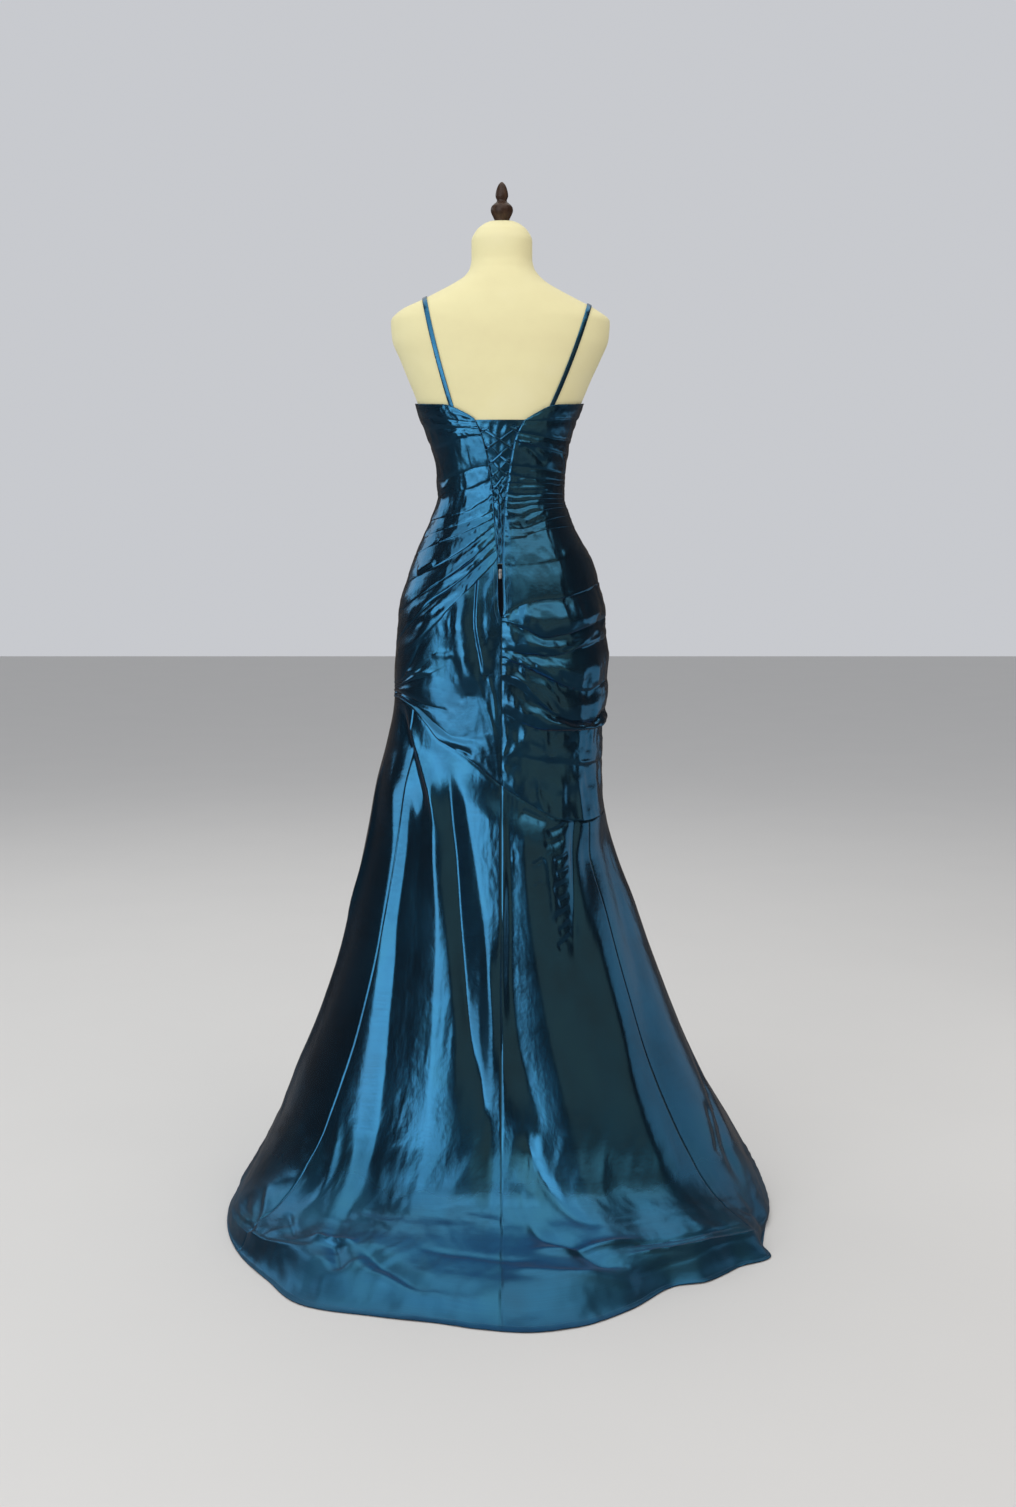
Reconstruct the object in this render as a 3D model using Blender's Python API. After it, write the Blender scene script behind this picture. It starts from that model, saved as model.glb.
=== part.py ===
"""Evening gown of shot taffeta on a limbless dress form with a turned finial.

Metres, +Z up. The floor is z = 0 and the stand's pole is the Z axis. The gown's
back faces -Y. Angles go round the pole from the centre back: 0 is the centre
back, +90 the wearer's right side (+X), 180 the centre front, -90 the left side.
Every cloth piece is a wall made from the same gown surface, so pieces meet at
their seams.
"""
import math
from functools import partial

import bmesh
import bpy
import numpy as np
from mathutils import Vector

# ---------------------------------------------------------------- sizes
WALL = 0.002             # thickness of the cloth walls
SEAM_GAP = 0.0004        # clearance between two pieces at a seam
UNDERLAY_WALL = 0.0012   # modesty panel and zip tape
FORM_GAP = 0.0006        # the underlay above the form
EASE = FORM_GAP + UNDERLAY_WALL + 0.0008   # inner face of the bodice above the form
FRONT_EASE = 0.0018      # and what the ruched front adds to it
SQUARENESS = 2.2         # exponent of the cross-sections; 2 would be an ellipse

FORM_BASE = 0.82         # underside of the torso
FORM_TOP = 1.660         # flat at the top of the neck, under the finial
POLE_RADIUS = 0.0125
STAND_RADIUS = 0.165
STAND_THICKNESS = 0.022
HUB_RADIUS = 0.032
HUB_HEIGHT = 0.028
TOUCH = 0.0003           # clearance where hard pieces sit on each other

BREAK = 0.12             # height where the skirt starts to turn out onto the floor
BODY_BLEND = (0.95, 1.03)  # between these heights the skirt leaves the torso's form

BODY_STEP = 7.5          # degrees between the columns of the draped body pieces
SKIRT_BACK_STEP = 3.75   # the same on the skirt, which shares the body's columns
SKIRT_FRONT_STEP = 7.5
SIDE_SEAM = 90
BACK_GORE = 60           # seams between the back and side gores
FRONT_GORE = 120         # seams between the side gores and the front

STRAP_WIDTH = 0.008
STRAP_THICKNESS = 0.0014
LOOP_RADIUS = 0.0008
LOOP_HALF_HEIGHT = 0.0047
LACE_WIDTH = 0.0040
LACE_THICKNESS = 0.0007
TAIL_DIAMETER = 0.0024


def table(columns, rows):
    """Rows of numbers as one array for each named column, sorted by the first."""
    values = np.array(sorted(rows))
    return {name: values[:, i] for i, name in enumerate(columns)}


SECTION = ("height", "left", "right", "back", "front")

# The form: half-widths and half-depths of its cross-sections.
TORSO = table(SECTION, (
    (1.660, 0.020, 0.020, 0.012, 0.030),
    (1.656, 0.029, 0.029, 0.020, 0.038),
    (1.645, 0.042, 0.042, 0.033, 0.050),
    (1.628, 0.050, 0.050, 0.041, 0.059),
    (1.600, 0.051, 0.051, 0.044, 0.060),
    (1.585, 0.054, 0.056, 0.050, 0.061),
    (1.572, 0.070, 0.074, 0.058, 0.062),
    (1.560, 0.101, 0.096, 0.064, 0.063),
    (1.548, 0.129, 0.121, 0.069, 0.065),
    (1.534, 0.149, 0.145, 0.075, 0.070),
    (1.516, 0.171, 0.168, 0.081, 0.077),
    (1.499, 0.184, 0.182, 0.086, 0.083),
    (1.470, 0.183, 0.181, 0.092, 0.091),
    (1.437, 0.173, 0.168, 0.096, 0.098),
    (1.405, 0.158, 0.151, 0.098, 0.104),
    (1.372, 0.142, 0.134, 0.098, 0.109),
    (1.340, 0.131, 0.120, 0.097, 0.111),
    (1.300, 0.115, 0.107, 0.093, 0.108),
    (1.260, 0.104, 0.101, 0.087, 0.102),
    (1.215, 0.102, 0.099, 0.083, 0.096),
    (1.175, 0.115, 0.111, 0.086, 0.096),
    (1.140, 0.131, 0.128, 0.095, 0.099),
    (1.109, 0.144, 0.146, 0.104, 0.102),
    (1.075, 0.155, 0.156, 0.113, 0.104),
    (1.040, 0.166, 0.164, 0.120, 0.105),
    (1.000, 0.171, 0.169, 0.125, 0.104),
    (0.940, 0.172, 0.170, 0.124, 0.101),
    (0.880, 0.165, 0.163, 0.116, 0.096),
    (0.820, 0.152, 0.150, 0.104, 0.090),
))

# The skirt's outer face below the hips, down to where it turns onto the floor.
SKIRT = table(SECTION, (
    (1.060, 0.164, 0.164, 0.124, 0.112),
    (1.000, 0.175, 0.173, 0.129, 0.111),
    (0.940, 0.180, 0.178, 0.130, 0.112),
    (0.873, 0.182, 0.174, 0.130, 0.118),
    (0.800, 0.196, 0.168, 0.130, 0.128),
    (0.736, 0.213, 0.168, 0.133, 0.138),
    (0.667, 0.226, 0.180, 0.140, 0.150),
    (0.600, 0.240, 0.200, 0.149, 0.163),
    (0.528, 0.257, 0.228, 0.160, 0.178),
    (0.458, 0.272, 0.252, 0.172, 0.193),
    (0.388, 0.293, 0.278, 0.186, 0.209),
    (0.317, 0.318, 0.306, 0.200, 0.226),
    (0.246, 0.348, 0.338, 0.214, 0.243),
    (0.174, 0.381, 0.374, 0.229, 0.262),
    (0.120, 0.409, 0.402, 0.241, 0.276),
))

# Where the falling cloth would meet the floor, before it turns outwards.
LANDING = {"left": 0.446, "right": 0.438, "back": 0.283, "front": 0.299}

# The hem on the floor: angle from the centre back, distance from the pole.
HEM = table(("angle", "reach"), (
    (-180, 0.312), (-150, 0.350), (-120, 0.425), (-90, 0.470), (-79, 0.476),
    (-59, 0.494), (-46, 0.509), (-34, 0.538), (-21, 0.520), (-12, 0.516),
    (-3, 0.530), (5, 0.541), (12, 0.534), (22, 0.504), (35, 0.464), (42, 0.484),
    (50, 0.484), (58, 0.508), (63, 0.478), (74, 0.462), (90, 0.458),
    (120, 0.415), (150, 0.345), (180, 0.312),
))

# Seams round the body, as heights by angle.
TOP_EDGE = table(("angle", "height"), (
    (-180, 1.338), (-168, 1.352), (-152, 1.383), (-138, 1.387), (-115, 1.371),
    (-90, 1.366), (-60, 1.361), (-44, 1.359), (-36, 1.353), (-28, 1.343), (-20, 1.332),
    (18, 1.332), (28, 1.345), (36, 1.355), (44, 1.359), (60, 1.361),
    (90, 1.366), (115, 1.371), (138, 1.387), (152, 1.383), (168, 1.352), (180, 1.338),
))
WAIST_SEAM_LEFT = table(("angle", "height"), (
    (-180, 0.990), (-150, 0.950), (-120, 0.918), (-90, 0.903), (-72, 0.912),
    (-63, 0.938), (-54, 0.980), (-42, 1.014), (-30, 1.045), (0, 1.112),
))
WAIST_SEAM_RIGHT = table(("angle", "height"), (
    (0, 1.022), (12, 1.036), (26, 1.045), (42, 1.048), (60, 1.058), (75, 1.068),
    (90, 1.072), (120, 1.062), (150, 1.035), (180, 0.990),
))
HIP_SEAM_LEFT = table(("angle", "height"), (
    (-180, 0.765), (-150, 0.812), (-120, 0.858), (-90, 0.880), (-72, 0.880),
    (-60, 0.866), (-50, 0.842), (-42, 0.818), (-27, 0.795), (0, 0.745),
))
HIP_SEAM_RIGHT = table(("angle", "height"), (
    (0, 0.745), (20, 0.713), (38, 0.688), (60, 0.682), (75, 0.688), (90, 0.695),
    (120, 0.710), (150, 0.735), (180, 0.765),
))

# The back opening and the seam below it: x of the left and right edges.
OPENING = table(("height", "left", "right"), (
    (1.360, -0.050, 0.046), (1.333, -0.039, 0.033), (1.303, -0.028, 0.020),
    (1.255, -0.018, 0.0115), (1.208, -0.0135, 0.0055), (1.158, -0.0100, 0.0020),
    (1.118, -0.0070, 0.0005), (1.090, -0.0060, 0.0010), (1.040, -0.0050, 0.0022),
    (1.024, -0.0030, 0.0022), (1.014, 0.0003, 0.0007), (0.900, 0.0, 0.0004),
    (0.700, -0.0002, 0.0002),
))


# ---------------------------------------------------------------- surfaces
def smooth(columns, x_name, y_name, at):
    """A smooth curve through a table's points, read at one place or many."""
    xs, ys = columns[x_name], columns[y_name]
    runs = np.diff(ys) / np.diff(xs)
    same_way = runs[:-1] * runs[1:] > 0
    bends = np.where(same_way, 2 * runs[:-1] * runs[1:] / np.where(same_way, runs[:-1] + runs[1:], 1), 0)
    slopes = np.concatenate([runs[:1], bends, runs[-1:]])
    at = np.clip(at, xs[0], xs[-1])
    i = np.clip(np.searchsorted(xs, at) - 1, 0, len(xs) - 2)
    span = xs[i + 1] - xs[i]
    t = (at - xs[i]) / span
    return ((1 + 2 * t) * (1 - t) ** 2 * ys[i] + t * (1 - t) ** 2 * span * slopes[i]
            + t * t * (3 - 2 * t) * ys[i + 1] + t * t * (t - 1) * span * slopes[i + 1])


def ease_in(t):
    """0 to 1 with a soft start and end."""
    t = np.clip(t, 0.0, 1.0)
    return t * t * (3 - 2 * t)


def turned(angle):
    """The same direction between -180 and 180 degrees."""
    return (np.asarray(angle) + 180) % 360 - 180


def oval(angle, left, right, back, front):
    """Distance from the pole to a rounded oval with four different half-sizes."""
    across, along = np.sin(np.radians(angle)), np.cos(np.radians(angle))
    wide = np.where(across >= 0, right, left)
    deep = np.where(along >= 0, back, front)
    spread = (np.abs(across) / wide) ** SQUARENESS + (np.abs(along) / deep) ** SQUARENESS
    return spread ** (-1 / SQUARENESS)


def section(sections, angle, height):
    sizes = {name: smooth(sections, "height", name, height) for name in SECTION[1:]}
    return oval(angle, **sizes)


BUST = {"angle": 38, "height": 1.318, "rise": 0.017, "spread": 0.052, "tall": 0.050}


def bust_rise(angle, height):
    """Two soft cups at the front of the form and of the gown on it."""
    off_front = 180 - np.abs(turned(angle))
    across = np.radians(off_front - BUST["angle"]) * 0.13
    up = np.asarray(height) - BUST["height"]
    return BUST["rise"] * np.exp(-(across / BUST["spread"]) ** 2 - (up / BUST["tall"]) ** 2)


def torso_reach(angle, height):
    return section(TORSO, angle, height) + bust_rise(angle, height)


def gown_reach(angle, height):
    """The gown's smooth outer face above the floor, without its folds."""
    in_front = ease_in((np.abs(turned(angle)) - SIDE_SEAM) / 30)
    fitted = torso_reach(angle, np.maximum(height, FORM_BASE)) + EASE + WALL + FRONT_EASE * in_front
    flared = section(SKIRT, angle, np.clip(height, BREAK, 1.06))
    low, high = BODY_BLEND
    share = ease_in((np.asarray(height) - low) / (high - low))
    return share * fitted + (1 - share) * flared


def hem_reach(angle):
    return smooth(HEM, "angle", "reach", turned(angle))


def gown_point(angle, height, rise):
    """Outer and inner points of the gown; rise lifts a fold off the smooth face.

    Above BREAK height is the real height. Below it the cloth turns out along the
    floor, and height only counts down to 0 at the hem.
    """
    angle, height, rise = np.broadcast_arrays(angle, height, rise)
    start = gown_reach(angle, np.maximum(height, BREAK))
    turn = np.clip(1 - height / BREAK, 0, 1)
    landing, hem = oval(angle, **LANDING), hem_reach(angle)
    reach = (1 - turn) ** 2 * start + 2 * turn * (1 - turn) * landing + turn ** 2 * hem
    drop = BREAK * (1 - turn) ** 2 + WALL * ease_in(2 * turn)
    level = np.where(height >= BREAK, height, drop)
    out_step = (1 - turn) * (landing - start) + turn * (hem - landing)
    down_step = BREAK * (1 - turn)
    length = np.hypot(out_step, down_step)
    steer = ease_in(3 * turn)
    out = 1 - steer + steer * down_step / length
    up = steer * out_step / length
    scale = np.hypot(out, up)
    out, up = out / scale, up / scale
    lift = np.where(rise < 0, rise * (1 - ease_in(1.6 * up)), rise)
    points = []
    for offset in (lift, lift - WALL):
        radius = reach + offset * out
        z = np.maximum(level + offset * up, 0.0)
        x = radius * np.sin(np.radians(angle))
        y = -radius * np.cos(np.radians(angle))
        points.append(np.stack([x, y, z], axis=-1))
    return points


# ---------------------------------------------------------------- pieces
# Crests and valleys of the draped panels. Each row runs from the centre edge to
# the side: its share of the way from the panel's top seam to its lower seam at
# both ends, and how far it stands off the smooth face at both ends.
DRAPE = ("centre", "side", "rise", "side_rise")
DRAPES = {
    "bodice_back_left": table(DRAPE, (
        (0.05, 0.05, 0.0030, 0.0010), (0.13, 0.14, 0.0, 0.0), (0.22, 0.21, 0.0050, 0.0020),
        (0.31, 0.29, 0.0, 0.0), (0.38, 0.35, 0.0042, 0.0025), (0.44, 0.41, 0.0, 0.0),
        (0.49, 0.46, 0.0038, 0.0025), (0.54, 0.51, 0.0, 0.0), (0.60, 0.57, 0.0045, 0.0035),
        (0.66, 0.63, 0.0, 0.0), (0.71, 0.68, 0.0040, 0.0040), (0.76, 0.74, 0.0, 0.0),
        (0.82, 0.80, 0.0055, 0.0045), (0.89, 0.87, 0.0, 0.0), (0.95, 0.94, 0.0050, 0.0035),
    )),
    "bodice_back_right": table(DRAPE, (
        (0.03, 0.04, 0.0020, 0.0008), (0.09, 0.09, 0.0, 0.0), (0.15, 0.16, 0.0042, 0.0015),
        (0.22, 0.26, 0.0, 0.0), (0.30, 0.33, 0.0045, 0.0012), (0.38, 0.39, 0.0, 0.0),
        (0.42, 0.43, 0.0035, 0.0010), (0.46, 0.46, 0.0, 0.0), (0.49, 0.49, 0.0035, 0.0010),
        (0.53, 0.52, 0.0, 0.0), (0.57, 0.56, 0.0035, 0.0010), (0.62, 0.60, 0.0, 0.0),
        (0.69, 0.66, 0.0030, 0.0020), (0.78, 0.76, 0.0, 0.0), (0.90, 0.90, 0.0020, 0.0020),
    )),
    "bodice_front": table(DRAPE, (
        (0.07, 0.06, 0.0025, 0.0025), (0.16, 0.14, 0.0, 0.0), (0.25, 0.23, 0.0040, 0.0030),
        (0.35, 0.34, 0.0, 0.0), (0.44, 0.45, 0.0035, 0.0040), (0.54, 0.56, 0.0, 0.0),
        (0.64, 0.67, 0.0045, 0.0035), (0.74, 0.77, 0.0, 0.0), (0.83, 0.86, 0.0040, 0.0035),
        (0.92, 0.94, 0.0, 0.0),
    )),
    "hip_back_left": table(DRAPE, (
        (0.07, 0.07, 0.0050, 0.0010), (0.16, 0.16, 0.0, 0.0), (0.28, 0.28, 0.0050, 0.0012),
        (0.40, 0.40, -0.0015, 0.0), (0.52, 0.52, 0.0045, 0.0012), (0.62, 0.62, -0.0010, 0.0),
        (0.73, 0.73, 0.0055, 0.0015), (0.83, 0.83, -0.0015, 0.0), (0.93, 0.93, 0.0045, 0.0015),
    )),
    "hip_back_right": table(DRAPE, (
        (0.03, 0.09, 0.0045, 0.0030), (0.08, 0.16, 0.0, 0.0), (0.15, 0.26, 0.0040, 0.0040),
        (0.21, 0.40, -0.0015, -0.0010), (0.27, 0.50, 0.0060, 0.0050), (0.34, 0.59, -0.0020, -0.0010),
        (0.43, 0.67, 0.0080, 0.0050), (0.56, 0.735, -0.0030, -0.0020),
        (0.68, 0.81, 0.0060, 0.0040), (0.80, 0.88, -0.0010, 0.0), (0.92, 0.95, 0.0030, 0.0030),
    )),
    "hip_front": table(DRAPE, (
        (0.08, 0.08, 0.0015, 0.0045), (0.20, 0.18, 0.0, -0.0010), (0.34, 0.31, 0.0015, 0.0055),
        (0.48, 0.45, 0.0, -0.0012), (0.62, 0.59, 0.0015, 0.0055), (0.76, 0.74, 0.0, -0.0010),
        (0.89, 0.88, 0.0015, 0.0045),
    )),
}

# Folds of the skirt: how far each stands out (or in), its spread to the left and
# to the right at the hem, and its course as (height, angle) from top to hem.
FOLDS = (
    (0.013, 0.040, 0.026, ((0.86, -66), (0.72, -64), (0.55, -62), (0.39, -58), (0.25, -54), (0.11, -49),
                           (0.0, -38))),
    (-0.011, 0.045, 0.045, ((0.80, -56), (0.60, -50), (0.40, -42), (0.22, -36), (0.10, -31), (0.0, -25))),
    (0.013, 0.034, 0.034, ((0.74, -46), (0.56, -36), (0.40, -28), (0.24, -20), (0.12, -16), (0.0, -11))),
    (-0.008, 0.030, 0.040, ((0.70, -22), (0.50, -15), (0.30, -9), (0.12, -5), (0.0, -2))),
    (-0.012, 0.030, 0.022, ((0.72, 0), (0.40, 1), (0.20, 8), (0.09, 16), (0.0, 20))),
    (0.014, 0.026, 0.034, ((0.73, 4), (0.45, 7), (0.24, 16), (0.07, 26), (0.0, 29))),
    (-0.013, 0.034, 0.030, ((0.69, 18), (0.50, 27), (0.28, 29), (0.08, 34), (0.0, 38))),
    (0.014, 0.026, 0.060, ((0.66, 60), (0.46, 55), (0.30, 55), (0.14, 55), (0.0, 58))),
    (-0.009, 0.030, 0.036, ((0.50, 94), (0.24, 88), (0.11, 74), (0.0, 67))),
    (0.007, 0.035, 0.035, ((0.50, 112), (0.24, 106), (0.10, 95), (0.0, 86))),
    (0.006, 0.020, 0.020, ((0.82, -74), (0.64, -76), (0.50, -79), (0.30, -84), (0.0, -92))),
    (-0.008, 0.036, 0.036, ((0.70, -68), (0.45, -70), (0.25, -68), (0.10, -66), (0.0, -64))),
    (0.010, 0.050, 0.040, ((0.40, -86), (0.20, -80), (0.10, -74), (0.0, -72))),
    (0.015, 0.045, 0.040, ((0.80, -104), (0.50, -108), (0.20, -112), (0.0, -113))),
    (-0.010, 0.040, 0.040, ((0.76, -116), (0.45, -121), (0.20, -124), (0.0, -125))),
    (0.017, 0.045, 0.050, ((0.74, -132), (0.45, -137), (0.20, -139), (0.0, -140))),
    (-0.009, 0.040, 0.036, ((0.70, -150), (0.40, -153), (0.0, -155))),
    (0.015, 0.045, 0.040, ((0.72, -165), (0.40, -168), (0.0, -171))),
    (-0.010, 0.034, 0.040, ((0.68, 180), (0.40, 178), (0.0, 175))),
    (0.016, 0.042, 0.046, ((0.66, 165), (0.40, 163), (0.0, 160))),
    (-0.009, 0.036, 0.036, ((0.64, 150), (0.40, 147), (0.0, 144))),
    (0.014, 0.040, 0.046, ((0.62, 136), (0.40, 133), (0.0, 130))),
    (-0.010, 0.036, 0.036, ((0.60, 122), (0.40, 120), (0.0, 116))),
)
FOLD_TOP_SHARE = 0.45    # a fold's spread where it starts, against that at the hem
HEM_RISE_SHARE = 0.35    # what is left of a fold at the hem's edge


def skirt_rise(angle, height):
    """All skirt folds together at each point."""
    total = np.zeros(np.broadcast(angle, height).shape)
    reach = np.where(np.asarray(height) > BREAK, gown_reach(angle, np.maximum(height, BREAK)),
                     oval(angle, **LANDING))
    for rise, left, right, course in FOLDS:
        places = table(("height", "angle"), course)
        top = places["height"][-1]
        middle = smooth(places, "height", "angle", height)
        away = np.radians(turned(angle - middle)) * reach
        fallen = np.clip((top - height) / top, 0, 1)
        spread = np.where(away < 0, left, right)
        spread = spread * (FOLD_TOP_SHARE + (1 - FOLD_TOP_SHARE) * fallen)
        grown = ease_in(fallen * 2.2) * (1 - (1 - HEM_RISE_SHARE) * ease_in(1 - height / 0.05))
        total = total + rise * grown * np.exp(-(away / spread) ** 2)
    return total


def edge_angle(side, height):
    """Angle of the back opening's left or right edge at a height."""
    x = smooth(OPENING, "height", side, height)
    return np.degrees(np.arcsin(x / smooth(TORSO, "height", "back", np.maximum(height, FORM_BASE))))


def seam(name_table, angle):
    return smooth(name_table, "angle", "height", angle)


def wall(name, outer, inner, material):
    """A closed wall between two grids of points, rows from top to bottom."""
    rows, cols = outer.shape[:2]
    points = np.concatenate([outer.reshape(-1, 3), inner.reshape(-1, 3)])
    inner_start = rows * cols
    faces = []

    def at(row, col, layer):
        return layer * inner_start + row * cols + col

    for j in range(rows - 1):
        for i in range(cols - 1):
            for layer in (0, 1):
                corners = [at(j, i, layer), at(j + 1, i, layer),
                           at(j + 1, i + 1, layer), at(j, i + 1, layer)]
                if layer:
                    faces.append((corners[0], corners[2], corners[1]))
                    faces.append((corners[0], corners[3], corners[2]))
                else:
                    faces.append((corners[0], corners[1], corners[2]))
                    faces.append((corners[0], corners[2], corners[3]))
    border = ([(0, i) for i in range(cols)] + [(j, cols - 1) for j in range(1, rows)]
              + [(rows - 1, i) for i in range(cols - 2, -1, -1)]
              + [(j, 0) for j in range(rows - 2, 0, -1)])
    for (j, i), (n, m) in zip(border, border[1:] + border[:1]):
        faces.append((at(j, i, 0), at(n, m, 0), at(n, m, 1), at(j, i, 1)))
    return solid(name, points, faces, material)


def solid(name, points, faces, material, sharp=35):
    """An object from points and faces, smooth but for edges over sharp degrees."""
    mesh = bpy.data.meshes.new(name)
    mesh.from_pydata([Vector(p) for p in points], [], faces)
    shape = bmesh.new()
    shape.from_mesh(mesh)
    bmesh.ops.recalc_face_normals(shape, faces=shape.faces)
    shape.to_mesh(mesh)
    shape.free()
    mesh.shade_smooth()
    mesh.set_sharp_from_angle(angle=math.radians(sharp))
    mesh.materials.append(material)
    thing = bpy.data.objects.new(name, mesh)
    bpy.context.scene.collection.objects.link(thing)
    return thing


def cloth(name, angle, height, rise, material):
    """A gown panel; its border is drawn in by half a seam gap all round."""
    half = SEAM_GAP / 2
    height = height.copy()
    angle = angle.copy()
    height[0] -= half
    if height[-1].max() > BREAK:
        height[-1] += half
    reach = gown_reach(angle, np.maximum(height, BREAK))
    angle[:, 0] += np.degrees(half / reach[:, 0])
    angle[:, -1] -= np.degrees(half / reach[:, -1])
    outer, inner = gown_point(angle, height, rise)
    return wall(name, outer, inner, material)


def drape_rows(drape, across):
    """Shares and rises of a draped panel's rows, from its centre edge to its side."""
    across = np.asarray(across)[None, :]
    bend = np.sin(across * math.pi / 2)

    def spread(centre, side, ends):
        column = np.concatenate([[ends[0]], centre, [ends[1]]])[:, None]
        far = np.concatenate([[ends[0]], side, [ends[1]]])[:, None]
        return column + (far - column) * bend

    share = spread(drape["centre"], drape["side"], (0.0, 1.0))
    rise = spread(drape["rise"], drape["side_rise"], (0.0, 0.0))
    return share, rise


EDGE_RISE_SHARE = 0.2    # how much of a pleat is left at the stitched centre edge
EDGE_FADE = 0.10         # over this share of a panel a pleat grows from its centre edge
SIDE_FADE = 0.14         # and over this one it flattens again to its side seam


def side_fade(across):
    """1 over a panel, 0 at its side seam, where front and back meet flush."""
    return ease_in((1 - across) / SIDE_FADE)


def back_panel(name, side, top, bottom, material):
    """A draped back panel between the side seam and the back opening or seam."""
    sign = -1 if side == "left" else 1
    nominal = np.arange(0, SIDE_SEAM + 1, BODY_STEP) * sign
    across = np.abs(nominal) / SIDE_SEAM
    share, rise = drape_rows(DRAPES[name], across)
    first, last = top(nominal), bottom(nominal)
    height = first + (last - first) * share
    edge = edge_angle(side, height)
    angle = edge + (SIDE_SEAM * sign - edge) * across
    from_edge = ease_in(across / EDGE_FADE)
    rise = rise * (EDGE_RISE_SHARE + (1 - EDGE_RISE_SHARE) * from_edge) * side_fade(across)
    if sign > 0:
        return cloth(name, angle, height, rise, material)
    return cloth(name, angle[:, ::-1], height[:, ::-1], rise[:, ::-1], material)


EDGE_CORNER = 1.333      # height where the opening's edges meet the top edge


def top_of_back(side, nominal):
    """Height of the bodice's top edge over a back panel's nominal angles."""
    last = edge_angle(side, EDGE_CORNER)
    side_seam = -SIDE_SEAM if side == "left" else SIDE_SEAM
    return seam(TOP_EDGE, last + (side_seam - last) * np.abs(nominal) / SIDE_SEAM)


def back_panels(taffeta):
    """The draped bodice and hip pieces at both sides of the back opening."""
    seams = {"left": (WAIST_SEAM_LEFT, HIP_SEAM_LEFT), "right": (WAIST_SEAM_RIGHT, HIP_SEAM_RIGHT)}
    for side, (waist, hips) in seams.items():
        top = partial(top_of_back, side)
        back_panel(f"bodice_back_{side}", side, top, partial(seam, waist), taffeta)
        back_panel(f"hip_back_{side}", side, partial(seam, waist), partial(seam, hips), taffeta)


def front_seam(left, right, angle):
    """Height of a seam that runs on round the front; angle goes from 90 to 270."""
    return np.where(angle <= 180, seam(right, np.minimum(angle, 180)),
                    seam(left, np.maximum(angle - 360, -180)))


def front_panels(taffeta):
    """The draped front pieces, from the right side round to the left."""
    angle = np.arange(SIDE_SEAM, 360 - SIDE_SEAM + 1, BODY_STEP)
    across = (angle - SIDE_SEAM) / (360 - 2 * SIDE_SEAM)
    edge = seam(TOP_EDGE, turned(angle))
    waist = front_seam(WAIST_SEAM_LEFT, WAIST_SEAM_RIGHT, angle)
    hips = front_seam(HIP_SEAM_LEFT, HIP_SEAM_RIGHT, angle)
    for name, first, last in (("bodice_front", edge, waist), ("hip_front", waist, hips)):
        share, rise = drape_rows(DRAPES[name], 1 - across)
        rise = rise * side_fade(2 * np.abs(across - 0.5))
        height = first + (last - first) * share
        cloth(name, np.broadcast_to(angle, height.shape).astype(float), height, rise, taffeta)


SKIRT_HEIGHTS = (0.60, 0.52, 0.44, 0.37, 0.30, 0.24, 0.19, 0.15, 0.12,
                 0.096, 0.075, 0.057, 0.042, 0.028, 0.014, 0.0)
SKIRT_ROWS_ABOVE = 2     # rows between the hip seam and the first common height


def skirt_panel(name, start, stop, step, taffeta):
    """A skirt gore from the hip seam to the hem, between two angles."""
    angle = np.linspace(start, stop, round((stop - start) / step) + 1)
    top = hip_height_on_chords(angle)
    rows = [top]
    for k in range(1, SKIRT_ROWS_ABOVE + 1):
        rows.append(top + (SKIRT_HEIGHTS[0] - top) * k / (SKIRT_ROWS_ABOVE + 1))
    rows += [np.full_like(top, h) for h in SKIRT_HEIGHTS]
    height = np.array(rows)
    grid = np.broadcast_to(angle, height.shape).astype(float)
    cloth(name, grid, height, skirt_rise(grid, height), taffeta)


def hip_height_on_chords(angle):
    """The hip seam as the draped panels' columns cut it, so both sides match."""
    nodes = np.arange(-270, 271, BODY_STEP)
    round_front = nodes % 360
    heights = np.where(np.abs(nodes) <= 90,
                       np.where(nodes < 0, seam(HIP_SEAM_LEFT, nodes), seam(HIP_SEAM_RIGHT, nodes)),
                       front_seam(HIP_SEAM_LEFT, HIP_SEAM_RIGHT, round_front))
    return np.interp(angle, nodes, heights)


def skirt_panels(taffeta):
    skirt_panel("skirt_back_left", -BACK_GORE, 0, SKIRT_BACK_STEP, taffeta)
    skirt_panel("skirt_back_right", 0, BACK_GORE, SKIRT_BACK_STEP, taffeta)
    skirt_panel("skirt_side_left", -FRONT_GORE, -BACK_GORE, SKIRT_FRONT_STEP, taffeta)
    skirt_panel("skirt_side_right", BACK_GORE, FRONT_GORE, SKIRT_FRONT_STEP, taffeta)
    skirt_panel("skirt_front", FRONT_GORE, 360 - FRONT_GORE, SKIRT_FRONT_STEP, taffeta)


# ---------------------------------------------------------------- underlay
def underlay(name, top, bottom, left, right, level, thickness, material, rows, cols):
    """A patch that lies on the form, its level measured out from the form."""
    share = np.linspace(0, 1, rows)[:, None]
    across = np.linspace(0, 1, cols)[None, :]
    height = top + (bottom - top) * share + 0 * across
    angle = left(height) + (right(height) - left(height)) * across
    faces = []
    for offset in (level + thickness, level):
        reach = torso_reach(angle, height) + offset
        faces.append(np.stack([reach * np.sin(np.radians(angle)),
                               -reach * np.cos(np.radians(angle)), height], axis=-1))
    return wall(name, faces[0], faces[1], material)


PANEL_TOP = 1.337
PANEL_BOTTOM = 1.106
PANEL_OVERLAP = 7.0      # degrees that the modesty panel runs on under each edge
ZIP_TOP = 1.1035
ZIP_BOTTOM = 1.004
ZIP_HALF_ANGLE = 6.5
ZIP_MIDDLE = -1.3        # the zip lies a little to the left of the centre back


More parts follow.
